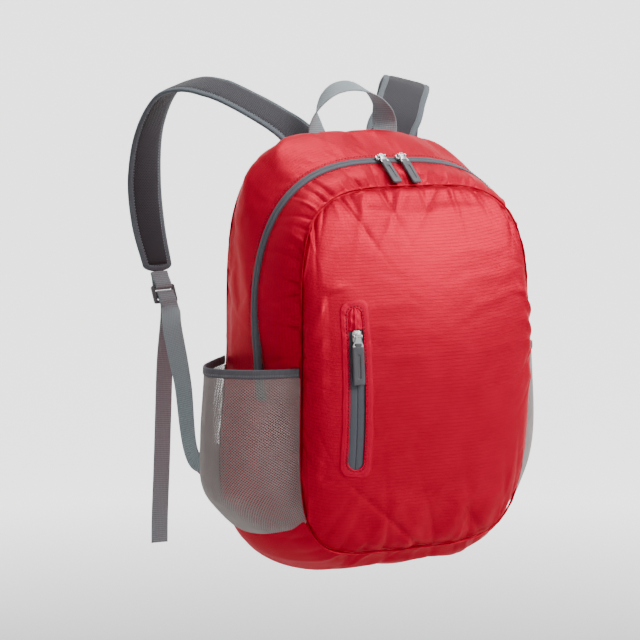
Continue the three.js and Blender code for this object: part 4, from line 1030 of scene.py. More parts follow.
def loft(name, rings, finish, closed_along=False, caps=True):
    """A closed solid through rings of points, with its lengths along and round it as its UV map."""
    rings = np.asarray(rings, float)
    count, around = rings.shape[:2]
    rows = count if closed_along else count - 1
    i, j = np.meshgrid(np.arange(rows), np.arange(around), indexing="ij")
    i2, j2 = (i + 1) % count, (j + 1) % around
    faces = np.stack([i * around + j, i * around + j2, i2 * around + j2, i2 * around + j], axis=-1).reshape(-1, 4)
    middle = rings.mean(axis=1)
    run = np.concatenate([[0], np.cumsum(np.linalg.norm(np.diff(middle, axis=0), axis=1))])
    if closed_along:
        run = np.append(run, run[-1] + np.linalg.norm(middle[0] - middle[-1]))
    girth = np.linalg.norm(np.roll(rings[count // 2], -1, axis=0) - rings[count // 2], axis=1)
    turn = np.concatenate([[0], np.cumsum(girth)])
    us = np.stack([run[i], run[i], run[i + 1], run[i + 1]], axis=-1).reshape(-1)
    vs = np.stack([turn[j], turn[j + 1], turn[j + 1], turn[j]], axis=-1).reshape(-1)
    face_list = [tuple(map(int, f)) for f in faces]
    if caps and not closed_along:
        face_list += [tuple(range(around - 1, -1, -1)), tuple(range((count - 1) * around, count * around))]
    mesh = bpy.data.meshes.new(name)
    mesh.from_pydata(rings.reshape(-1, 3).tolist(), [], face_list)
    layer = mesh.uv_layers.new(name="cloth")
    coords = np.zeros((len(mesh.loops), 2), np.float32)
    coords[: len(us), 0], coords[: len(vs), 1] = us, vs
    layer.data.foreach_set("uv", coords.ravel())
    mesh.polygons.foreach_set("use_smooth", np.ones(len(mesh.polygons), dtype=bool))
    mesh.materials.append(finish)
    mesh.update()
    obj = bpy.data.objects.new(name, mesh)
    bpy.context.scene.collection.objects.link(obj)
    build = bmesh.new()
    build.from_mesh(mesh)
    bmesh.ops.recalc_face_normals(build, faces=build.faces)
    build.to_mesh(mesh)
    build.free()
    return obj


def band_rings(frames, section):
    """A section carried along frames. Its first number goes along the width, its second off the face."""
    section = np.asarray(section, float)
    if section.ndim == 2:
        section = np.repeat(section[None], len(frames["at"]), axis=0)
    wide, thick = frames["wide"][:, None], frames["thick"][:, None]
    return frames["at"][:, None] + wide * section[..., :1] + thick * section[..., 1:]


def even(points, pitch):
    """The points of a line at an even pitch, with the direction of the line there."""
    points = np.asarray(points, float)
    run = np.concatenate([[0], np.cumsum(np.linalg.norm(np.diff(points, axis=0), axis=1))])
    count = max(2, int(round(run[-1] / pitch)))
    at = (np.arange(count) + 0.5) / count * run[-1]
    along = np.stack([np.interp(at, run, points[:, k]) for k in range(3)], axis=1)
    ahead = np.stack([np.interp(at + pitch / 3, run, points[:, k]) for k in range(3)], axis=1)
    behind = np.stack([np.interp(at - pitch / 3, run, points[:, k]) for k in range(3)], axis=1)
    return along, normalised(ahead - behind), at / run[-1]


STITCH_SHARES = ((-0.5, 0.35), (-0.3, 0.9), (0.3, 0.9), (0.5, 0.35))


def stitches(name, lines, finish, pitch=0.0028, length=0.0019, radius=0.00028):
    """Rows of small thread stitches. lines is a list of (points, directions off the cloth)."""
    points, faces = [], []
    turn = np.linspace(0, 2 * np.pi, 5)[:-1] + np.pi / 4
    for line, off in lines:
        at, along, share = even(line, pitch)
        off = np.asarray(off, float)
        steps_along = np.linspace(0, 1, len(off))
        out = normalised(np.stack([np.interp(share, steps_along, off[:, k]) for k in range(3)], axis=1))
        side = normalised(np.cross(along, out))
        for k in range(len(at)):
            first = len(points)
            for reach_along, round_share in STITCH_SHARES:
                middle = at[k] + along[k] * reach_along * length + out[k] * radius * round_share * 0.6
                for a in turn:
                    points.append(middle + (side[k] * math.cos(a) + out[k] * math.sin(a)) * radius * round_share)
            for ring_number in range(3):
                for j in range(4):
                    a, b = first + ring_number * 4 + j, first + ring_number * 4 + (j + 1) % 4
                    faces.append((a, b, b + 4, a + 4))
            faces.append((first + 3, first + 2, first + 1, first))
            faces.append((first + 12, first + 13, first + 14, first + 15))
    obj = add_object(name, points, faces, finish=finish)
    build = bmesh.new()
    build.from_mesh(obj.data)
    bmesh.ops.recalc_face_normals(build, faces=build.faces)
    build.to_mesh(obj.data)
    build.free()
    return obj


print("loft tools ready")

# %% [markdown]
# ## The zips
# Both zips are water-resistant coil zips. Their teeth are on the inside, so the outside shows two smooth
# coated tapes that meet in a narrow groove. The front pocket's zip lies in a slot with round ends, under
# a raised welt that is stitched on both edges, and a small hood of cloth at the top hides the slider.

# %% Main zip
TAPE_SECTION = (  # across and off the cloth, in shares of half the zip's width and in millimetres
    (-1.35, -1.7), (-1.35, -1.3), (-1.0, -0.8), (-0.97, 0.15), (-0.88, 0.45), (-0.5, 0.6), (-0.14, 0.62),
    (-0.05, 0.45), (0.0, -0.35), (0.05, 0.45), (0.14, 0.62), (0.5, 0.6), (0.88, 0.45), (0.97, 0.15),
    (1.0, -0.8), (1.35, -1.3), (1.35, -1.7),
)


def zip_side_point(s, side, distance):
    return shell(s, beside_zip(s, side, distance))


def make_main_zip():
    s = np.linspace(-ZIP_END, ZIP_END, 300)
    half = ZIP_WIDTH / 2
    normals = shell_normal(s, zip_line(s))
    rings = []
    for share, height in TAPE_SECTION:
        side = -1 if share < 0 else 1
        rings.append(zip_side_point(s, side, abs(share) * half) + normals * (height * 0.001))
    tape = loft("main_zip_tapes", np.stack(rings, axis=1), zip_tape)
    dress(tape, "main_zip_tape")
    lines = []
    for side in (-1, 1):
        line = zip_side_point(s, side, half + 0.0026)
        lines.append((line + normals * 0.0004, normals))
    thread = stitches("main_zip_stitches", lines, thread_red, 0.0034, 0.0021, 0.0004)
    dress(thread, None)
    return tape


make_main_zip()
make_seam_roll()
print("main zip and front seam made")

# %% Front pocket: welt, zip and hood
def slot_outline(share, sides=60):
    """The slot's outline moved outwards by a share of the welt; its round ends grow square on the way."""
    radius = SLOT_WIDTH / 2 + share * 0.001
    across = SLOT_WIDTH / 2 + share * WELT_WIDTH - radius
    up = SLOT_LENGTH / 2 + share * WELT_WIDTH - radius
    points = []
    for hand, start in ((1, 0.0), (-1, 180.0)):
        for side, first in ((1, start), (-1, start + 92.0)):
            turn = np.radians(np.linspace(first, first + 88.0, 9))
            points += [(side * hand * across + radius * math.cos(a), hand * up + radius * math.sin(a)) for a in turn]
        rise = np.linspace(hand * up, -hand * up, sides + 2)[1:-1]
        points += [(-hand * (across + radius), y) for y in rise]
    return np.array(points)


WELT_SECTION = (  # across the welt from its inner edge as a share, and height in millimetres
    (0.0, -0.6), (-0.03, 0.5), (0.02, 0.85), (0.09, 0.95), (0.15, 0.68), (0.2, 0.6), (0.27, 0.8), (0.4, 0.9),
    (0.6, 0.85), (0.8, 0.75), (0.92, 0.6), (1.0, 0.15), (1.0, -0.2),
)


def welt_ring(share, height):
    """One ring of the welt, with small puckers that grow towards its outer edge."""
    outline = slot_outline(share)
    count = np.arange(len(outline))
    pucker = 0.00014 * np.sin(count * 1.7) + 0.00012 * np.sin(count * 0.9 + 1)
    widen = 1 + 0.02 * share * np.sin(count * 0.37)
    return slot_place(outline[:, 0] * widen, outline[:, 1], height * 0.001 + pucker * (height > 0.55))


def make_welt():
    rings = np.stack([welt_ring(share, height) for share, height in WELT_SECTION], axis=1)
    welt = loft("pocket_welt_cloth", rings, welt_cloth, closed_along=True)
    dress(welt, "pocket_welt")
    off = front_normal(np.array(SLOT_ACROSS), np.array(SLOT_DOWN))
    ring_points = welt_ring(0.18, 0.62)
    ring_points = np.concatenate([ring_points, ring_points[:1]])
    lines = [(ring_points, np.repeat(off[None], len(ring_points), axis=0))]
    thread = stitches("pocket_welt_stitches", lines, thread_red, 0.0034, 0.0021, 0.0005)
    dress(thread, None)


def make_pocket_zip():
    top = SLOT_LENGTH / 2 + 0.0015
    up = np.linspace(-top, top, 90)
    half = SLOT_WIDTH / 2
    rings = []
    for share, height in TAPE_SECTION:
        across = np.full(len(up), share * half if abs(share) < 1.1 else np.sign(share) * (half + 0.0015))
        rings.append(slot_place(across, up, np.full(len(up), height * 0.001 - 0.0009)))
    tape = loft("pocket_zip_tapes", np.stack(rings, axis=1), zip_tape)
    dress(tape, "pocket_zip_tape")


GARAGE_LENGTH = 0.018


def make_garage():
    top, foot = SLOT_LENGTH / 2 + 0.0008, SLOT_LENGTH / 2 - SLOT_WIDTH * 0.25 - 0.002 - GARAGE_LENGTH
    share = np.linspace(0, 1, 34)
    up = top + (foot - top) * share
    radius, straight = SLOT_WIDTH / 2, (SLOT_LENGTH - SLOT_WIDTH) / 2
    beyond = np.maximum(up - straight, 0)
    half = np.sqrt(np.maximum(radius**2 - beyond**2, 0.003**2)) + 0.0003
    rings = []
    for wall in (1, 0):
        for across in np.linspace(-1, 1, 25) * (1 if wall else -1):
            pucker = 0.00045 * np.sin(across * 11 + share * 4) + 0.0003 * np.sin(across * 5 - share * 13)
            fold = 0.0009 * np.exp(-((across - 0.1 + 0.25 * share) / 0.12) ** 2)
            dome = 0.0030 * (1 - across**2) * np.clip(0.25 + 1.1 * share, 0, 1)
            height = 0.0007 * wall + dome - 0.0009 + (pucker + fold) * (1 - across**4) * (0.4 + 0.6 * share)
            rings.append(slot_place(across * half, up, height))
    garage = loft("pocket_garage_cloth", np.stack(rings, axis=1), welt_cloth)
    dress(garage, "pocket_garage")


make_welt()
make_pocket_zip()
make_garage()
print("pocket zip made")

# %% [markdown]
# ## Sliders, pulls and grips
# Each slider is a cast metal body with an arched bridge. A flat metal pull with a round eye hangs on the
# bridge and turns about it, and a moulded rubber grip is clamped over the pull's end. The pull and the
# grip ride on their own bodies, because they swing.

# %% Shaped plates
def plate(name, outline, wall, bevel, finish, holes=()):
    """A flat plate with rounded edges, from an outline in its own plane. It is centred on the plane."""
    curve = bpy.data.curves.new(name, "CURVE")
    curve.dimensions = "2D"
    curve.fill_mode = "BOTH"
    curve.extrude = wall / 2 - bevel
    curve.bevel_depth = bevel
    curve.bevel_resolution = 2
    curve.offset = -bevel
    for ring_points in (outline, *holes):
        spline = curve.splines.new("POLY")
        spline.points.add(len(ring_points) - 1)
        for point, (x, y) in zip(spline.points, ring_points):
            point.co = (x, y, 0, 1)
        spline.use_cyclic_u = True
    made = bpy.data.objects.new(name, curve)
    bpy.context.scene.collection.objects.link(made)
    only(made)
    bpy.ops.object.convert(target="MESH")
    made = bpy.context.view_layer.objects.active
    made.data.materials.clear()
    made.data.materials.append(finish)
    build = bmesh.new()
    build.from_mesh(made.data)
    bmesh.ops.remove_doubles(build, verts=build.verts, dist=1e-6)
    bmesh.ops.recalc_face_normals(build, faces=build.faces)
    build.to_mesh(made.data)
    build.free()
    only(made)
    bpy.ops.object.shade_smooth_by_angle(angle=math.radians(40))
    return made


def arc(x, y, radius, first, last, count):
    turn = np.radians(np.linspace(first, last, count))
    return [(x + radius * math.cos(a), y + radius * math.sin(a)) for a in turn]


def rounded_box(width, height, radius, x=0.0, y=0.0, count=6):
    a, b = width / 2 - radius, height / 2 - radius
    points = []
    for cx, cy, first in ((a, b, 0), (-a, b, 90), (-a, -b, 180), (a, -b, 270)):
        points += arc(x + cx, y + cy, radius, first, first + 90, count)
    return points


def placed(obj, matrix):
    """Moves a piece's mesh, so that the object itself stays at the origin."""
    obj.data.transform(matrix)
    obj.data.update()
    return obj


def joined(name, pieces):
    only(pieces[0])
    for piece in pieces[1:]:
        piece.select_set(True)
    bpy.ops.object.join()
    pieces[0].name = name
    pieces[0].data.name = name
    return pieces[0]


def bar_mesh(name, line, radius, finish, around=10):
    """A round bar along a line of points."""
    line = np.asarray(line, float)
    along = normalised(np.gradient(line, axis=0))
    side = normalised(np.cross(along, np.array([0.31, 0.2, 0.93])))
    other = np.cross(along, side)
    turn = np.linspace(0, 2 * np.pi, around + 1)[:-1]
    rings = line[:, None] + radius * (side[:, None] * np.cos(turn)[:, None] + other[:, None] * np.sin(turn)[:, None])
    return loft(name, rings, finish)


# %% The pull's frame, from its joint and its solids
SLIDER_LIFT = 0.0007
SLIDER_HEIGHT = 0.0023
BAR_SPAN = 0.0064
BAR_LIFT = SLIDER_LIFT + SLIDER_HEIGHT + 0.00035 + 0.0017


def node_middle(name):
    points = np.array([v.co for v in frame["nodes"][name].data.vertices])
    return Vector(points.mean(axis=0).tolist())


def basis(x, y, place):
    """The matrix of a frame whose X and Y directions are given."""
    x, y = x.normalized(), (y - x * y.dot(x)).normalized()
    z = x.cross(y)
    rows = [(x[k], y[k], z[k], place[k]) for k in range(3)]
    return Matrix((*rows, (0, 0, 0, 1)))


joints = {joint["child"]: joint for joint in frame["joints"]}
print("joints:", sorted(joints))

# %% Sliders
def make_slider(name, node, matrix, along_bar, across_bar, finish):
    """A slider: a rounded body, a thinner crown on it, two posts and the arched bridge between them."""
    body = plate(name, rounded_box(along_bar, across_bar, 0.0026), SLIDER_HEIGHT, 0.0006, finish)
    placed(body, Matrix.Translation((0, 0, SLIDER_LIFT + SLIDER_HEIGHT / 2)))
    crown = plate(name + "_crown", rounded_box(along_bar * 0.74, across_bar * 0.7, 0.0018), 0.0008, 0.0003, finish)
    placed(crown, Matrix.Translation((0, 0, SLIDER_LIFT + SLIDER_HEIGHT + 0.0001)))
    half = BAR_SPAN / 2 + 0.00065
    low, high = SLIDER_LIFT + SLIDER_HEIGHT - 0.0004, BAR_LIFT
    legs = []
    for hand in (-1, 1):
        post = plate(name + "_post", rounded_box(0.0026, high - low + 0.001, 0.0009), 0.0013, 0.0003, finish)
        stand = basis(Vector((0, 1, 0)), Vector((0, 0, 1)), (hand * half, 0, (low + high + 0.001) / 2))
        legs.append(placed(post, stand))
    bar = bar_mesh(name + "_bar", [(x, 0, high) for x in np.linspace(-half, half, 9)], 0.00068, finish)
    slider = joined(name, [body, crown, *legs, bar])
    placed(slider, matrix)
    dress(slider, node)
    return slider


PULL_LENGTH = 0.011


def make_pull(name, node, body, matrix, width):
    """A bell-shaped pull with a round eye at the bar and a slot that the grip's loop goes through."""
    neck, foot = 0.0027, width * 0.46
    flare = [(neck * 0.93, -0.0012), (neck * 0.98, -0.0034), (foot * 0.8, -0.0062), (foot, -0.0088)]
    corner = [(foot, -PULL_LENGTH + 0.0007), (foot - 0.0007, -PULL_LENGTH)]
    outline = arc(0, 0, neck, -10, 190, 18)
    outline += [(-x, y) for x, y in (*flare, *corner)] + [*reversed(corner), *reversed(flare)]
    eye = arc(0, 0, 0.00115, 0, 337.5, 16)
    slot_hole = rounded_box(foot * 1.25, 0.0022, 0.0006, 0, -0.0081, 4)
    pull = plate(name, outline, 0.0014, 0.0004, bright_metal, (eye, slot_hole))
    placed(pull, matrix @ Matrix.Rotation(math.pi, 4, "Z"))
    dress(pull, node, body)
    return pull


def make_grip(name, node, body, matrix, length, width):
    """A moulded grip: a soft slab with a raised rim round a long sunk slit, and a loop at its upper end."""
    start, foot = PULL_LENGTH - 0.0012, PULL_LENGTH - 0.004 + length
    length = foot - start
    middle = Matrix.Translation((0, start + length / 2, 0))
    slab = plate(name, rounded_box(width, length, 0.0016), 0.0012, 0.0004, grip_rubber)
    window = rounded_box(width * 0.26, length * 0.62, width * 0.12, 0, length * 0.02)
    rim = plate(name + "_rim", rounded_box(width - 0.0006, length - 0.0006, 0.0015), 0.0027, 0.0006, grip_rubber, (window,))
    loop = plate(name + "_loop", rounded_box(width * 0.5, 0.0046, 0.0012), 0.0021, 0.0005, grip_rubber)
    placed(loop, Matrix.Translation((0, -length / 2 - 0.0008, 0)))
    grip = joined(name, [slab, rim, loop])
    placed(grip, matrix @ middle)
    dress(grip, node, body)
    return grip


def pull_frames(grip_node, body):
    """The pivot, the bar's direction and the pull's frame, from the joint and from where the grip lies."""
    joint = joints[body]
    pivot, bar = Vector(joint["pos_m"]), Vector(joint["axis"])
    hanging = node_middle(grip_node) - pivot
    return pivot, bar, basis(bar, hanging, pivot)


def make_zip_pull(slider_node, puller_node, grip_node, body, normal, sizes, length, width):
    pivot, bar, pull = pull_frames(grip_node, body)
    normal = Vector(normal.tolist())
    across = normal.cross(bar)
    seat = basis(bar, across, pivot - normal * BAR_LIFT)
    make_slider(slider_node + "_cast", slider_node, seat, *sizes, bright_metal)
    make_pull(puller_node + "_cast", puller_node, body, pull, width)
    make_grip(grip_node + "_rubber", grip_node, body, pull, length, width)


def turn_at(x):
    """The place round the bag where the zip has come a distance across the bag."""
    turns = np.linspace(-0.4, 0.4, 801)
    return float(np.interp(x, shell(turns, ZIP_AT + 0 * turns)[:, 0], turns))


for side, x in (("left", -0.008), ("right", 0.015)):
    normal = shell_normal(np.array(turn_at(x)), np.array(ZIP_AT))
    names = ["slider_" + side, "puller_" + side, "grip_" + side]
    make_zip_pull(*names, "main_pull_" + side, normal, (0.012, 0.008), 0.035, 0.010)
pocket_up = SLOT_LENGTH / 2 - SLOT_WIDTH * 0.25 - GARAGE_LENGTH - 0.009
pocket_normal = front_normal(np.array(SLOT_ACROSS), np.array(SLOT_DOWN - pocket_up / down_rate))
make_zip_pull(
    "pocket_slider", "pocket_puller", "pocket_grip", "pocket_pull", pocket_normal, (0.009, 0.012), 0.040, 0.012,
)
print("zip pulls made")

# %% [markdown]
# ## Net pockets
# The side pockets are knitted net, so the cloth behind them shows through. Each pocket is a grid of small
# slanted squares on the pocket's surface, and a wireframe keeps only the threads between them. The mouth
# is held by a band of elastic that is folded over the net's edge and stitched through.

# %% The pocket's surface
POCKET_BOTTOM = 1.55
HEM_HEIGHT = 0.009
POCKETS = {"left": {"mouth": 1.08, "bulge": 0.041, "open": 0.97}, "right": {"mouth": 1.05, "bulge": 0.020, "open": 0.4}}
ACROSS_T = (0.02, 0.12, 0.3, 0.5, 0.7, 0.86, 0.98)
ACROSS_OUT = (0, 0.36, 0.86, 1, 0.72, 0.3, 0)
UP_SHARE = (0, 0.12, 0.28, 0.6, 1)
UP_OUT = (0, 0.42, 0.88, 1)
NET_PITCH = 0.0029
NET_LIFT = 0.0010


def net_point(side, s, t, up, height):
    """A place on a side pocket, up being the share of the way from its bottom to its mouth."""
    pocket = POCKETS[side]
    turn = s if side == "right" else 4 - s
    out = normalised(np.array([1.0 if side == "right" else -1.0, -0.12, 0.0]))
    stand = pocket["bulge"] * smooth(ACROSS_T, ACROSS_OUT, np.clip(t, 0.02, 0.98))
    stand = stand * smooth(UP_SHARE, (*UP_OUT, pocket["open"]), np.clip(up, 0, 1))
    slack = 0.0
    if side == "right":
        slack = 0.0035 * np.sin(2 * np.pi * (t * 2.1 + up * 0.3)) * np.sin(np.pi * t) * up
    return shell(turn, t) + shell_normal(turn, t) * np.asarray(height)[..., None] + out * (stand + slack)[..., None]


def net_surface(side, across, up, height=NET_LIFT):
    pocket = POCKETS[side]
    s = POCKET_BOTTOM + (pocket["mouth"] - POCKET_BOTTOM) * up
    t = 0.004 + 0.992 * across
    sewn = np.clip(np.minimum(np.minimum(across, 1 - across) * 30, up * 30), 0, 1)
    return net_point(side, s, t, up, height * sewn)


# %% Nets, hems and their stitches
def make_net(side):
    samples = net_surface(side, np.full(60, 0.5), np.linspace(0, 1, 60))
    high = np.linalg.norm(np.diff(samples, axis=0), axis=1).sum()
    samples = net_surface(side, np.linspace(0, 1, 60), np.full(60, 0.6))
    wide = np.linalg.norm(np.diff(samples, axis=0), axis=1).sum()
    columns, rows = int(wide / NET_PITCH), int(high / NET_PITCH * 0.92)
    i, j = np.meshgrid(np.arange(columns + 1), np.arange(rows + 1), indexing="ij")
    corner_points = net_surface(side, i / columns, j / rows).reshape(-1, 3)
    a, b = np.meshgrid(np.arange(columns), np.arange(rows), indexing="ij")
    centre_points = net_surface(side, (a + 0.5) / columns, (b + 0.5) / rows).reshape(-1, 3)
    corner = np.arange((columns + 1) * (rows + 1)).reshape(columns + 1, rows + 1)
    centre = corner.size + np.arange(columns * rows).reshape(columns, rows)
    upright = np.stack([corner[1:-1, :-1], centre[1:], corner[1:-1, 1:], centre[:-1]], axis=-1).reshape(-1, 4)
    level = np.stack([corner[:-1, 1:-1], centre[:, :-1], corner[1:, 1:-1], centre[:, 1:]], axis=-1).reshape(-1, 4)
    faces = np.concatenate([upright, level])
    points = np.concatenate([corner_points, centre_points])
    net = add_object("pocket_net_" + side, points, faces, finish=net_thread)
    build = bmesh.new()
    build.from_mesh(net.data)
    loose = [v for v in build.verts if not v.link_faces]
    bmesh.ops.delete(build, geom=loose, context="VERTS")
    bmesh.ops.recalc_face_normals(build, faces=build.faces)
    build.to_mesh(net.data)
    build.free()
    wire = net.modifiers.new("threads", "WIREFRAME")
    wire.thickness = 0.00102
    wire.use_even_offset = False
    wire.use_boundary = True
    apply_all(net)
    dress(net, "mesh_pocket_" + side)
    return net


def make_hem(side):
    t = np.linspace(0.008, 0.992, 96)
    mouth = POCKETS[side]["mouth"]
    base = net_point(side, mouth + 0 * t, t, 1 + 0 * t, NET_LIFT + 0 * t)
    along = normalised(np.gradient(base, axis=0))
    up = np.array([0.0, 0.0, 1.0])
    out = normalised(np.cross(up, along))
    outward = np.array([1.0 if side == "right" else -1.0, 0, 0])
    if (out @ outward).sum() < 0:
        out = -out
    at = base + up * (0.0003 + HEM_HEIGHT / 2)
    frames = {"at": at, "along": along, "wide": np.repeat(up[None], len(t), axis=0), "thick": out}
    ruffle = 0.00025 * np.sin(np.arange(len(t)) * 1.9)
    section = np.repeat(flat_section(HEM_HEIGHT, 0.0021, 4, 0.0002)[None], len(t), axis=0)
    section = section + np.array([0, 1.0]) * ruffle[:, None, None]
    hem = loft("pocket_hem_band_" + side, band_rings(frames, section), hem_cloth)
    dress(hem, "pocket_hem_" + side)
    lines = [(at + up * level + out * 0.0013, out) for level in (-0.0022, -0.0012)]
    thread = stitches("pocket_hem_stitches_" + side, lines, thread_grey, 0.0024, 0.0015, 0.00022)
    dress(thread, None)


for side in ("left", "right"):
    net = make_net(side)
    make_hem(side)
    print(side, "net:", len(net.data.polygons), "faces")

# %% [markdown]
# ## Straps
# The shoulder straps are foam pads in a spacer knit, bound all round with woven tape that is stitched
# through. A short keeper at the lower end holds a buckle with three bars. Webbing comes up from a cloth
# tab in the side seam, turns round the buckle's middle bar and hangs down as a free tail.

# %% Strap routes
HAUL_WIDTH = 0.025
WEBBING_WIDTH = 0.020
WEBBING_WALL = 0.0016
HAUL_SPAN = 0.078
HAUL_RISE = 0.054
STRAP_WIDTH = 0.052
STRAP_WALL = 0.006
BINDING_WIDTH = 0.0075
BINDING_WALL = 0.0046
STRAP_FOOT = 0.190
STRAP_RISE = 0.063
STRAP_REACH = 0.190
STRAP_SPREAD = 0.150
RIGHT_LEAN = 0.010
SEAM_GAP = 0.0003
STRAP_SEAT = 4 * SEAM_GAP + WEBBING_WALL + STRAP_WALL / 2
HAUL_SEAT = SEAM_GAP + WEBBING_WALL / 2
HAUL_ROWS = (  # place as shares, then the direction of the width
    (-1.0, 0.0, -0.45, 1, 0, 0),
    (-1.0, 0.012, 0.08, 1, 0, 0),
    (-1.04, 0.062, 0.42, 0.86, 0.5, 0.05),
    (-1.02, 0.06, 0.68, 0.5, 0.85, 0.12),
    (-0.84, 0.03, 0.92, 0.25, 0.95, 0.2),
    (-0.45, 0.03, 1.12, 0.1, 0.92, 0.35),
    (0.0, 0.03, 1.17, 0, 0.92, 0.38),
    (0.48, 0.03, 1.06, -0.1, 0.92, 0.3),
    (0.86, 0.02, 0.8, -0.3, 0.92, 0.15),
    (1.02, 0.055, 0.46, -0.86, 0.5, 0.05),
    (1.0, 0.008, 0.08, -1, 0, 0),
    (1.0, 0.0, -0.45, -1, 0, 0),
)
STRAP_ROWS = (  # place as shares, the direction of the width, and the width's share
    (0.305, 0.0, -0.4, 1, 0, 0, 1),
    (0.31, 0.004, -0.1, 1, 0, 0, 1),
    (0.34, 0.05, 0.12, 0.93, -0.28, -0.15, 1),
    (0.39, 0.1, 0.29, 0.84, -0.45, -0.25, 1),
    (0.48, 0.165, 0.48, 0.76, -0.58, -0.3, 1),
    (0.61, 0.31, 0.74, 0.7, -0.64, -0.3, 1),
    (0.745, 0.46, 0.95, 0.7, -0.64, -0.3, 1),
    (0.85, 0.62, 1.01, 0.74, -0.62, -0.22, 1),
    (0.93, 0.8, 0.84, 0.74, -0.64, -0.1, 1),
    (0.98, 0.945, 0.25, 0.82, -0.56, 0, 1),
    (1.0, 0.99, -0.6, 0.93, -0.35, 0, 0.94),
    (1.0, 0.94, -1.4, 0.97, -0.2, 0, 0.82),
    (0.985, 0.85, -2.05, 0.98, -0.1, 0, 0.68),
)
STRAP_SHARES = [k / (len(STRAP_ROWS) - 1) for k in range(len(STRAP_ROWS))]


def strap_frames(hand, count=150):
    lean = RIGHT_LEAN if hand > 0 else 0.0
    places = [
        (hand * (x * STRAP_SPREAD + y * lean), STRAP_SEAT + y * STRAP_REACH, STRAP_FOOT + z * STRAP_RISE)
        for x, y, z, *_ in STRAP_ROWS
    ]
    widths = normalised(np.array([(row[3], hand * row[4], hand * row[5]) for row in STRAP_ROWS], float))
    return frames_along(places, widths, count)


def strap_width(share):
    return STRAP_WIDTH * smooth(STRAP_SHARES, [row[6] for row in STRAP_ROWS], share)


def strap_end(hand):
    """The frame past the lower end of the pad and its binding."""
    frames = strap_frames(hand, 25)
    end, along = frames["at"][-1], normalised(frames["at"][-1] - frames["at"][-2])
    wide = frames["wide"][-1] - (frames["wide"][-1] @ along) * along
    wide = normalised(wide)
    return {"at": end + along * (BINDING_WIDTH + 2 * SEAM_GAP), "along": along, "wide": wide, "thick": np.cross(along, wide)}


def past_pad(end, along, off):
    return end["at"] + end["along"] * along + end["thick"] * off


# %% Pads and bindings
def make_pad(side, hand):
    frames = strap_frames(hand)
    share = np.linspace(0, 1, len(frames["at"]))
    half = strap_width(share) / 2 - BINDING_WIDTH + 0.002
    turn = np.linspace(0, 2 * np.pi, 33)[:-1]
    across, off = np.sign(np.cos(turn)) * np.abs(np.cos(turn)) ** 0.35, np.sign(np.sin(turn)) * np.abs(np.sin(turn)) ** 0.55
    section = np.stack([across[None] * half[:, None], np.repeat(off[None] * STRAP_WALL / 2, len(share), axis=0)], axis=-1)
    pad = loft("strap_foam_" + side, band_rings(frames, section), spacer_mesh)
    dress(pad, "strap_pad_" + side)


def binding_frames(hand, inset=0.0):
    """Frames down one edge of the pad, round its lower end and up the other edge."""
    frames = strap_frames(hand)
    share = np.linspace(0, 1, len(frames["at"]))
    away = (strap_width(share) / 2 - BINDING_WIDTH / 2 - inset)[:, None]
    sides = [(frames["at"] + frames["wide"] * hand_side * away, frames["wide"] * hand_side, frames["thick"]) for hand_side in (-1, 1)]
    end, along, wide, thick = (frames[key][-1] for key in ("at", "along", "wide", "thick"))
    reach = strap_width(1.0) / 2 - BINDING_WIDTH / 2 - inset
    turn = np.linspace(-np.pi / 2, np.pi / 2, 22)[1:-1, None]
    at = end + wide * np.sin(turn) * reach + along * np.cos(turn) * (BINDING_WIDTH / 2 + SEAM_GAP - inset)
    out = normalised(wide * np.sin(turn) + along * np.cos(turn))
    corner = (at, out, np.repeat(thick[None], len(at), axis=0))
    parts = [sides[0], corner, tuple(part[::-1] for part in sides[1])]
    joined_parts = [np.concatenate([part[k] for part in parts]) for k in range(3)]
    return {"at": joined_parts[0], "wide": joined_parts[1], "thick": joined_parts[2]}


def make_binding(side, hand):
    frames = binding_frames(hand)
    section = flat_section(BINDING_WIDTH, BINDING_WALL * 0.82, 6, 0.0005, 6)
    binding = loft("strap_tape_" + side, band_rings(frames, section), binding_cloth)
    dress(binding, "strap_binding_" + side)
    inner = binding_frames(hand, 0.0022)
    lines = []
    for face in (-1, 1):
        off = inner["thick"] * face
        lines.append((inner["at"] + off * (BINDING_WALL * 0.41 + 0.0003), off))
    thread = stitches("strap_stitches_" + side, lines, thread_grey, 0.0032, 0.0021, 0.00024)
    dress(thread, None)


def make_haul_loop():
    places = [(x * HAUL_SPAN / 2, HAUL_SEAT + y * HAUL_SPAN, STRAP_FOOT + z * HAUL_RISE) for x, y, z, *_ in HAUL_ROWS]
    widths = normalised(np.array([row[3:] for row in HAUL_ROWS], float))
    frames = frames_along(places, widths, 160)
    loop = loft("haul_loop_webbing", band_rings(frames, flat_section(HAUL_WIDTH, WEBBING_WALL, 4, 0.0001, 10)), webbing_cloth)
    dress(loop, "haul_loop")


def make_root_stitches(side, hand):
    """Two rows of stitches across the upper end of each pad, where it is sewn to the back panel."""
    frames = strap_frames(hand)
    run = np.concatenate([[0], np.cumsum(np.linalg.norm(np.diff(frames["at"], axis=0), axis=1))])
    lines = []
    for reach in (0.006, 0.016):
        at, wide, thick = (
            np.array([np.interp(reach, run, frames[key][:, k]) for k in range(3)]) for key in ("at", "wide", "thick")
        )
        if thick[1] < 0:
            thick = -thick
        across = np.linspace(-1, 1, 15)[:, None] * (STRAP_WIDTH / 2 - 0.001)
        lines.append((at + wide * across + thick * (STRAP_WALL / 2 + 0.0002), np.repeat(thick[None], 15, axis=0)))
    thread = stitches("strap_root_stitches_" + side, lines, thread_grey, 0.0032, 0.0022, 0.0004)
    dress(thread, None)


make_haul_loop()
for side, hand in (("left", -1), ("right", 1)):
    make_pad(side, hand)
    make_binding(side, hand)
    make_root_stitches(side, hand)
print("pads, bindings and haul loop made")

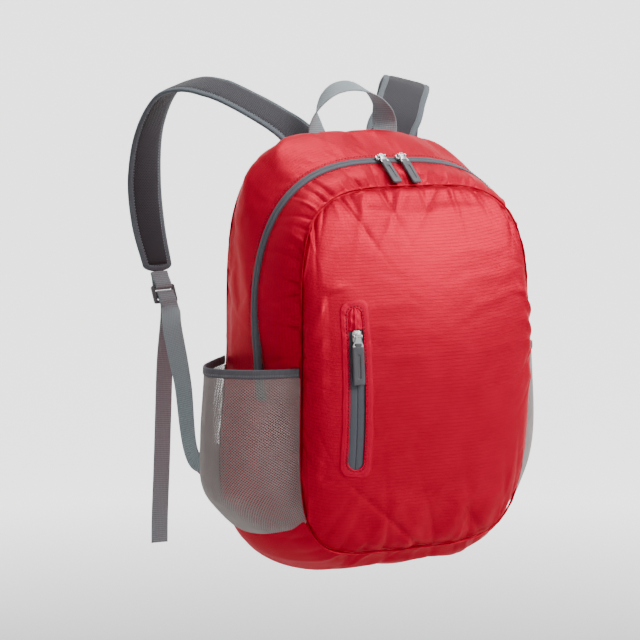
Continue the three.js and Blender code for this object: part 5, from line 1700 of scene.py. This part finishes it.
# %% Keepers, buckles, webbing and side tabs
BUCKLE_WIDTH = 0.028
BUCKLE_WALL = 0.004
BUCKLE_BAR = 0.003
BUCKLE_SLOT = 0.0056
KEEPER_LENGTH = 0.015
WING_REACH = 0.026
WING_HEIGHT = 0.052
WING_PLACE = 1.42
WING_WALL = 0.0015
BARS = [KEEPER_LENGTH + k * (BUCKLE_BAR + BUCKLE_SLOT) for k in range(3)]
BAR_MIDDLE = [top + BUCKLE_BAR / 2 for top in BARS]
SLOT_MIDDLE = [top + BUCKLE_BAR + BUCKLE_SLOT / 2 for top in BARS[:2]]
BAND_CLEAR = WEBBING_WALL / 2 + SEAM_GAP
BAR_FACE = BUCKLE_WALL / 2 + BAND_CLEAR
WEBBING_RISE = ((0.168, 0.060, -0.050), (0.159, 0.104, 0.0))
WEBBING_TAIL = (
    (0.151, 0.142, -0.040), (0.157, 0.134, -0.095), (0.162, 0.128, -0.150), (0.166, 0.125, -0.205), (0.167, 0.124, -0.232),
)


def make_keeper(side, hand):
    end = strap_end(hand)
    near, slot = WEBBING_WALL / 2 + SEAM_GAP / 2, BARS[0] + BUCKLE_BAR + BAND_CLEAR
    half = [
        (0, near), (BARS[0] * 0.45, near + 0.0004), (BARS[0] - 0.001, BAR_FACE),
        (BAR_MIDDLE[0], BAR_FACE + 0.0001), (slot - 0.0002, BAR_FACE - 0.0004),
    ]
    route = [*half, (slot, 0), *((u, -n) for u, n in reversed(half))]
    places = [past_pad(end, u, n) for u, n in route]
    frames = frames_along(places, [end["wide"]] * len(places), 80)
    keeper = loft("strap_keeper_webbing_" + side, band_rings(frames, flat_section(WEBBING_WIDTH, WEBBING_WALL)), webbing_cloth)
    dress(keeper, "strap_keeper_" + side)


def make_buckle(side, hand):
    end = strap_end(hand)
    height = BARS[2] + BUCKLE_BAR - BARS[0]
    holes = []
    for middle in SLOT_MIDDLE:
        holes.append(rounded_box(WEBBING_WIDTH + 3 * SEAM_GAP, BUCKLE_SLOT, 0.0007, 0, middle - BARS[0] - height / 2, 4))
    outline = rounded_box(BUCKLE_WIDTH, height, BUCKLE_BAR * 0.8)
    buckle = plate("strap_buckle_" + side, outline, BUCKLE_WALL, 0.0008, buckle_plastic, holes)
    place = past_pad(end, BARS[0] + height / 2, 0)
    placed(buckle, basis(Vector(end["wide"].tolist()), Vector(end["along"].tolist()), place.tolist()))
    dress(buckle, "buckle_" + side)


def wing_frame(hand):
    reach = WING_HEIGHT / 2 / QUARTER
    turns = np.array([WING_PLACE + k * reach for k in (-1, 0, 1)])
    base = shell(turns if hand > 0 else 4 - turns, 0.0) + np.array([0, SEAM_GAP + WING_WALL / 2, 0])
    out = normalised(np.array([hand * 0.5, 0.8, 0.3]))
    upright = normalised(base[0] - base[2])
    wide = normalised(upright - out * (upright @ out))
    return base, base[1] + out * WING_REACH, out, wide, normalised(np.cross(out, wide)) * hand


def make_wing(side, hand):
    base, tip, out, wide, thick = wing_frame(hand)
    half = WEBBING_WIDTH / 2 + 0.001
    outer = np.stack([tip - wide * k * half for k in (-1, 0, 1)])
    share = np.linspace(0, 1, 22)[:, None]
    rows = []
    for k in np.linspace(0, 1, 15):
        first = np.array([np.interp(k * 2, (0, 1, 2), base[:, axis]) for axis in range(3)])
        last = np.array([np.interp(k * 2, (0, 1, 2), outer[:, axis]) for axis in range(3)])
        line = first * (1 - share) + last * share
        pucker = 0.0004 * np.sin(k * 19 + share * 3) * (1 - share)
        rows.append(line + thick * pucker)
    grid = np.stack(rows, axis=1)
    wing = add_object("strap_tab_" + side, grid, grid_faces(22, 15), cloth_lengths(grid), welt_cloth)
    wall = wing.modifiers.new("wall", "SOLIDIFY")
    wall.thickness = WING_WALL
    wall.offset = 0
    apply_all(wing)
    dress(wing, "strap_wing_" + side)
    on_face = WING_WALL / 2 + SEAM_GAP + WEBBING_WALL + 0.0001
    lines = []
    for reach in (-0.45, -0.12):
        middle = tip + out * WING_REACH * reach + thick * on_face
        line = np.stack([middle + wide * k for k in np.linspace(-0.0085, 0.0085, 9)])
        lines.append((line, np.repeat(thick[None], 9, axis=0)))
    thread = stitches("strap_tab_stitches_" + side, lines, thread_grey, 0.0026, 0.0018, 0.0003)
    dress(thread, None)


def make_webbing(side, hand):
    end = strap_end(hand)
    base, tip, out, wide, thick = wing_frame(hand)
    on_wing = WING_WALL / 2 + SEAM_GAP + WEBBING_WALL / 2
    tuck = BUCKLE_BAR * 0.5 + BAND_CLEAR
    mm = 0.001
    threaded = [
        (BARS[2] + BUCKLE_BAR + 7 * mm, BAR_FACE + WEBBING_WALL + 1.4 * mm),
        (BAR_MIDDLE[2], BAR_FACE + WEBBING_WALL + 0.5 * mm),
        (BARS[2] - 2 * mm, BAR_FACE + WEBBING_WALL - 0.2 * mm),
        (BAR_MIDDLE[1] + 0.8 * mm, BAR_FACE + 0.1 * mm),
        (BAR_MIDDLE[1] - tuck + 0.25 * mm, BAR_FACE - 0.25 * mm),
        (BAR_MIDDLE[1] - tuck, 0),
        (BAR_MIDDLE[1] - tuck + 0.25 * mm, -BAR_FACE + 0.25 * mm),
        (BAR_MIDDLE[1], -BAR_FACE),
        (BAR_MIDDLE[1] + tuck - 0.2 * mm, -BAR_FACE + 0.3 * mm),
        (SLOT_MIDDLE[1] + 0.2 * mm, 0.3 * mm),
        (BARS[2] - 0.8 * mm, BAR_FACE - 0.25 * mm),
        (BAR_MIDDLE[2], BAR_FACE + 0.05 * mm),
        (BARS[2] + BUCKLE_BAR + 5 * mm, BAR_FACE),
    ]
    places = [tip + out * reach * WING_REACH + thick * on_wing for reach in (-0.6, 0.115)]
    places += [np.array([hand * x, y, z]) for x, y, z in WEBBING_RISE]
    places += [past_pad(end, u, n) for u, n in threaded]
    places += [np.array([hand * x, y, z]) for x, y, z in WEBBING_TAIL]
    first, last = -wide, end["wide"] * hand
    shares_to_buckle = np.clip((np.arange(len(places)) - 1) / (1 + len(WEBBING_RISE)), 0, 1)[:, None]
    widths = normalised(first * (1 - shares_to_buckle) + last * shares_to_buckle)
    frames = frames_along(places, widths, 340)
    webbing = loft("strap_webbing_band_" + side, band_rings(frames, flat_section(WEBBING_WIDTH, WEBBING_WALL)), webbing_cloth)
    dress(webbing, "strap_webbing_" + side)


for side, hand in (("left", -1), ("right", 1)):
    make_keeper(side, hand)
    make_buckle(side, hand)
    make_wing(side, hand)
    make_webbing(side, hand)
print("buckles and webbing made")
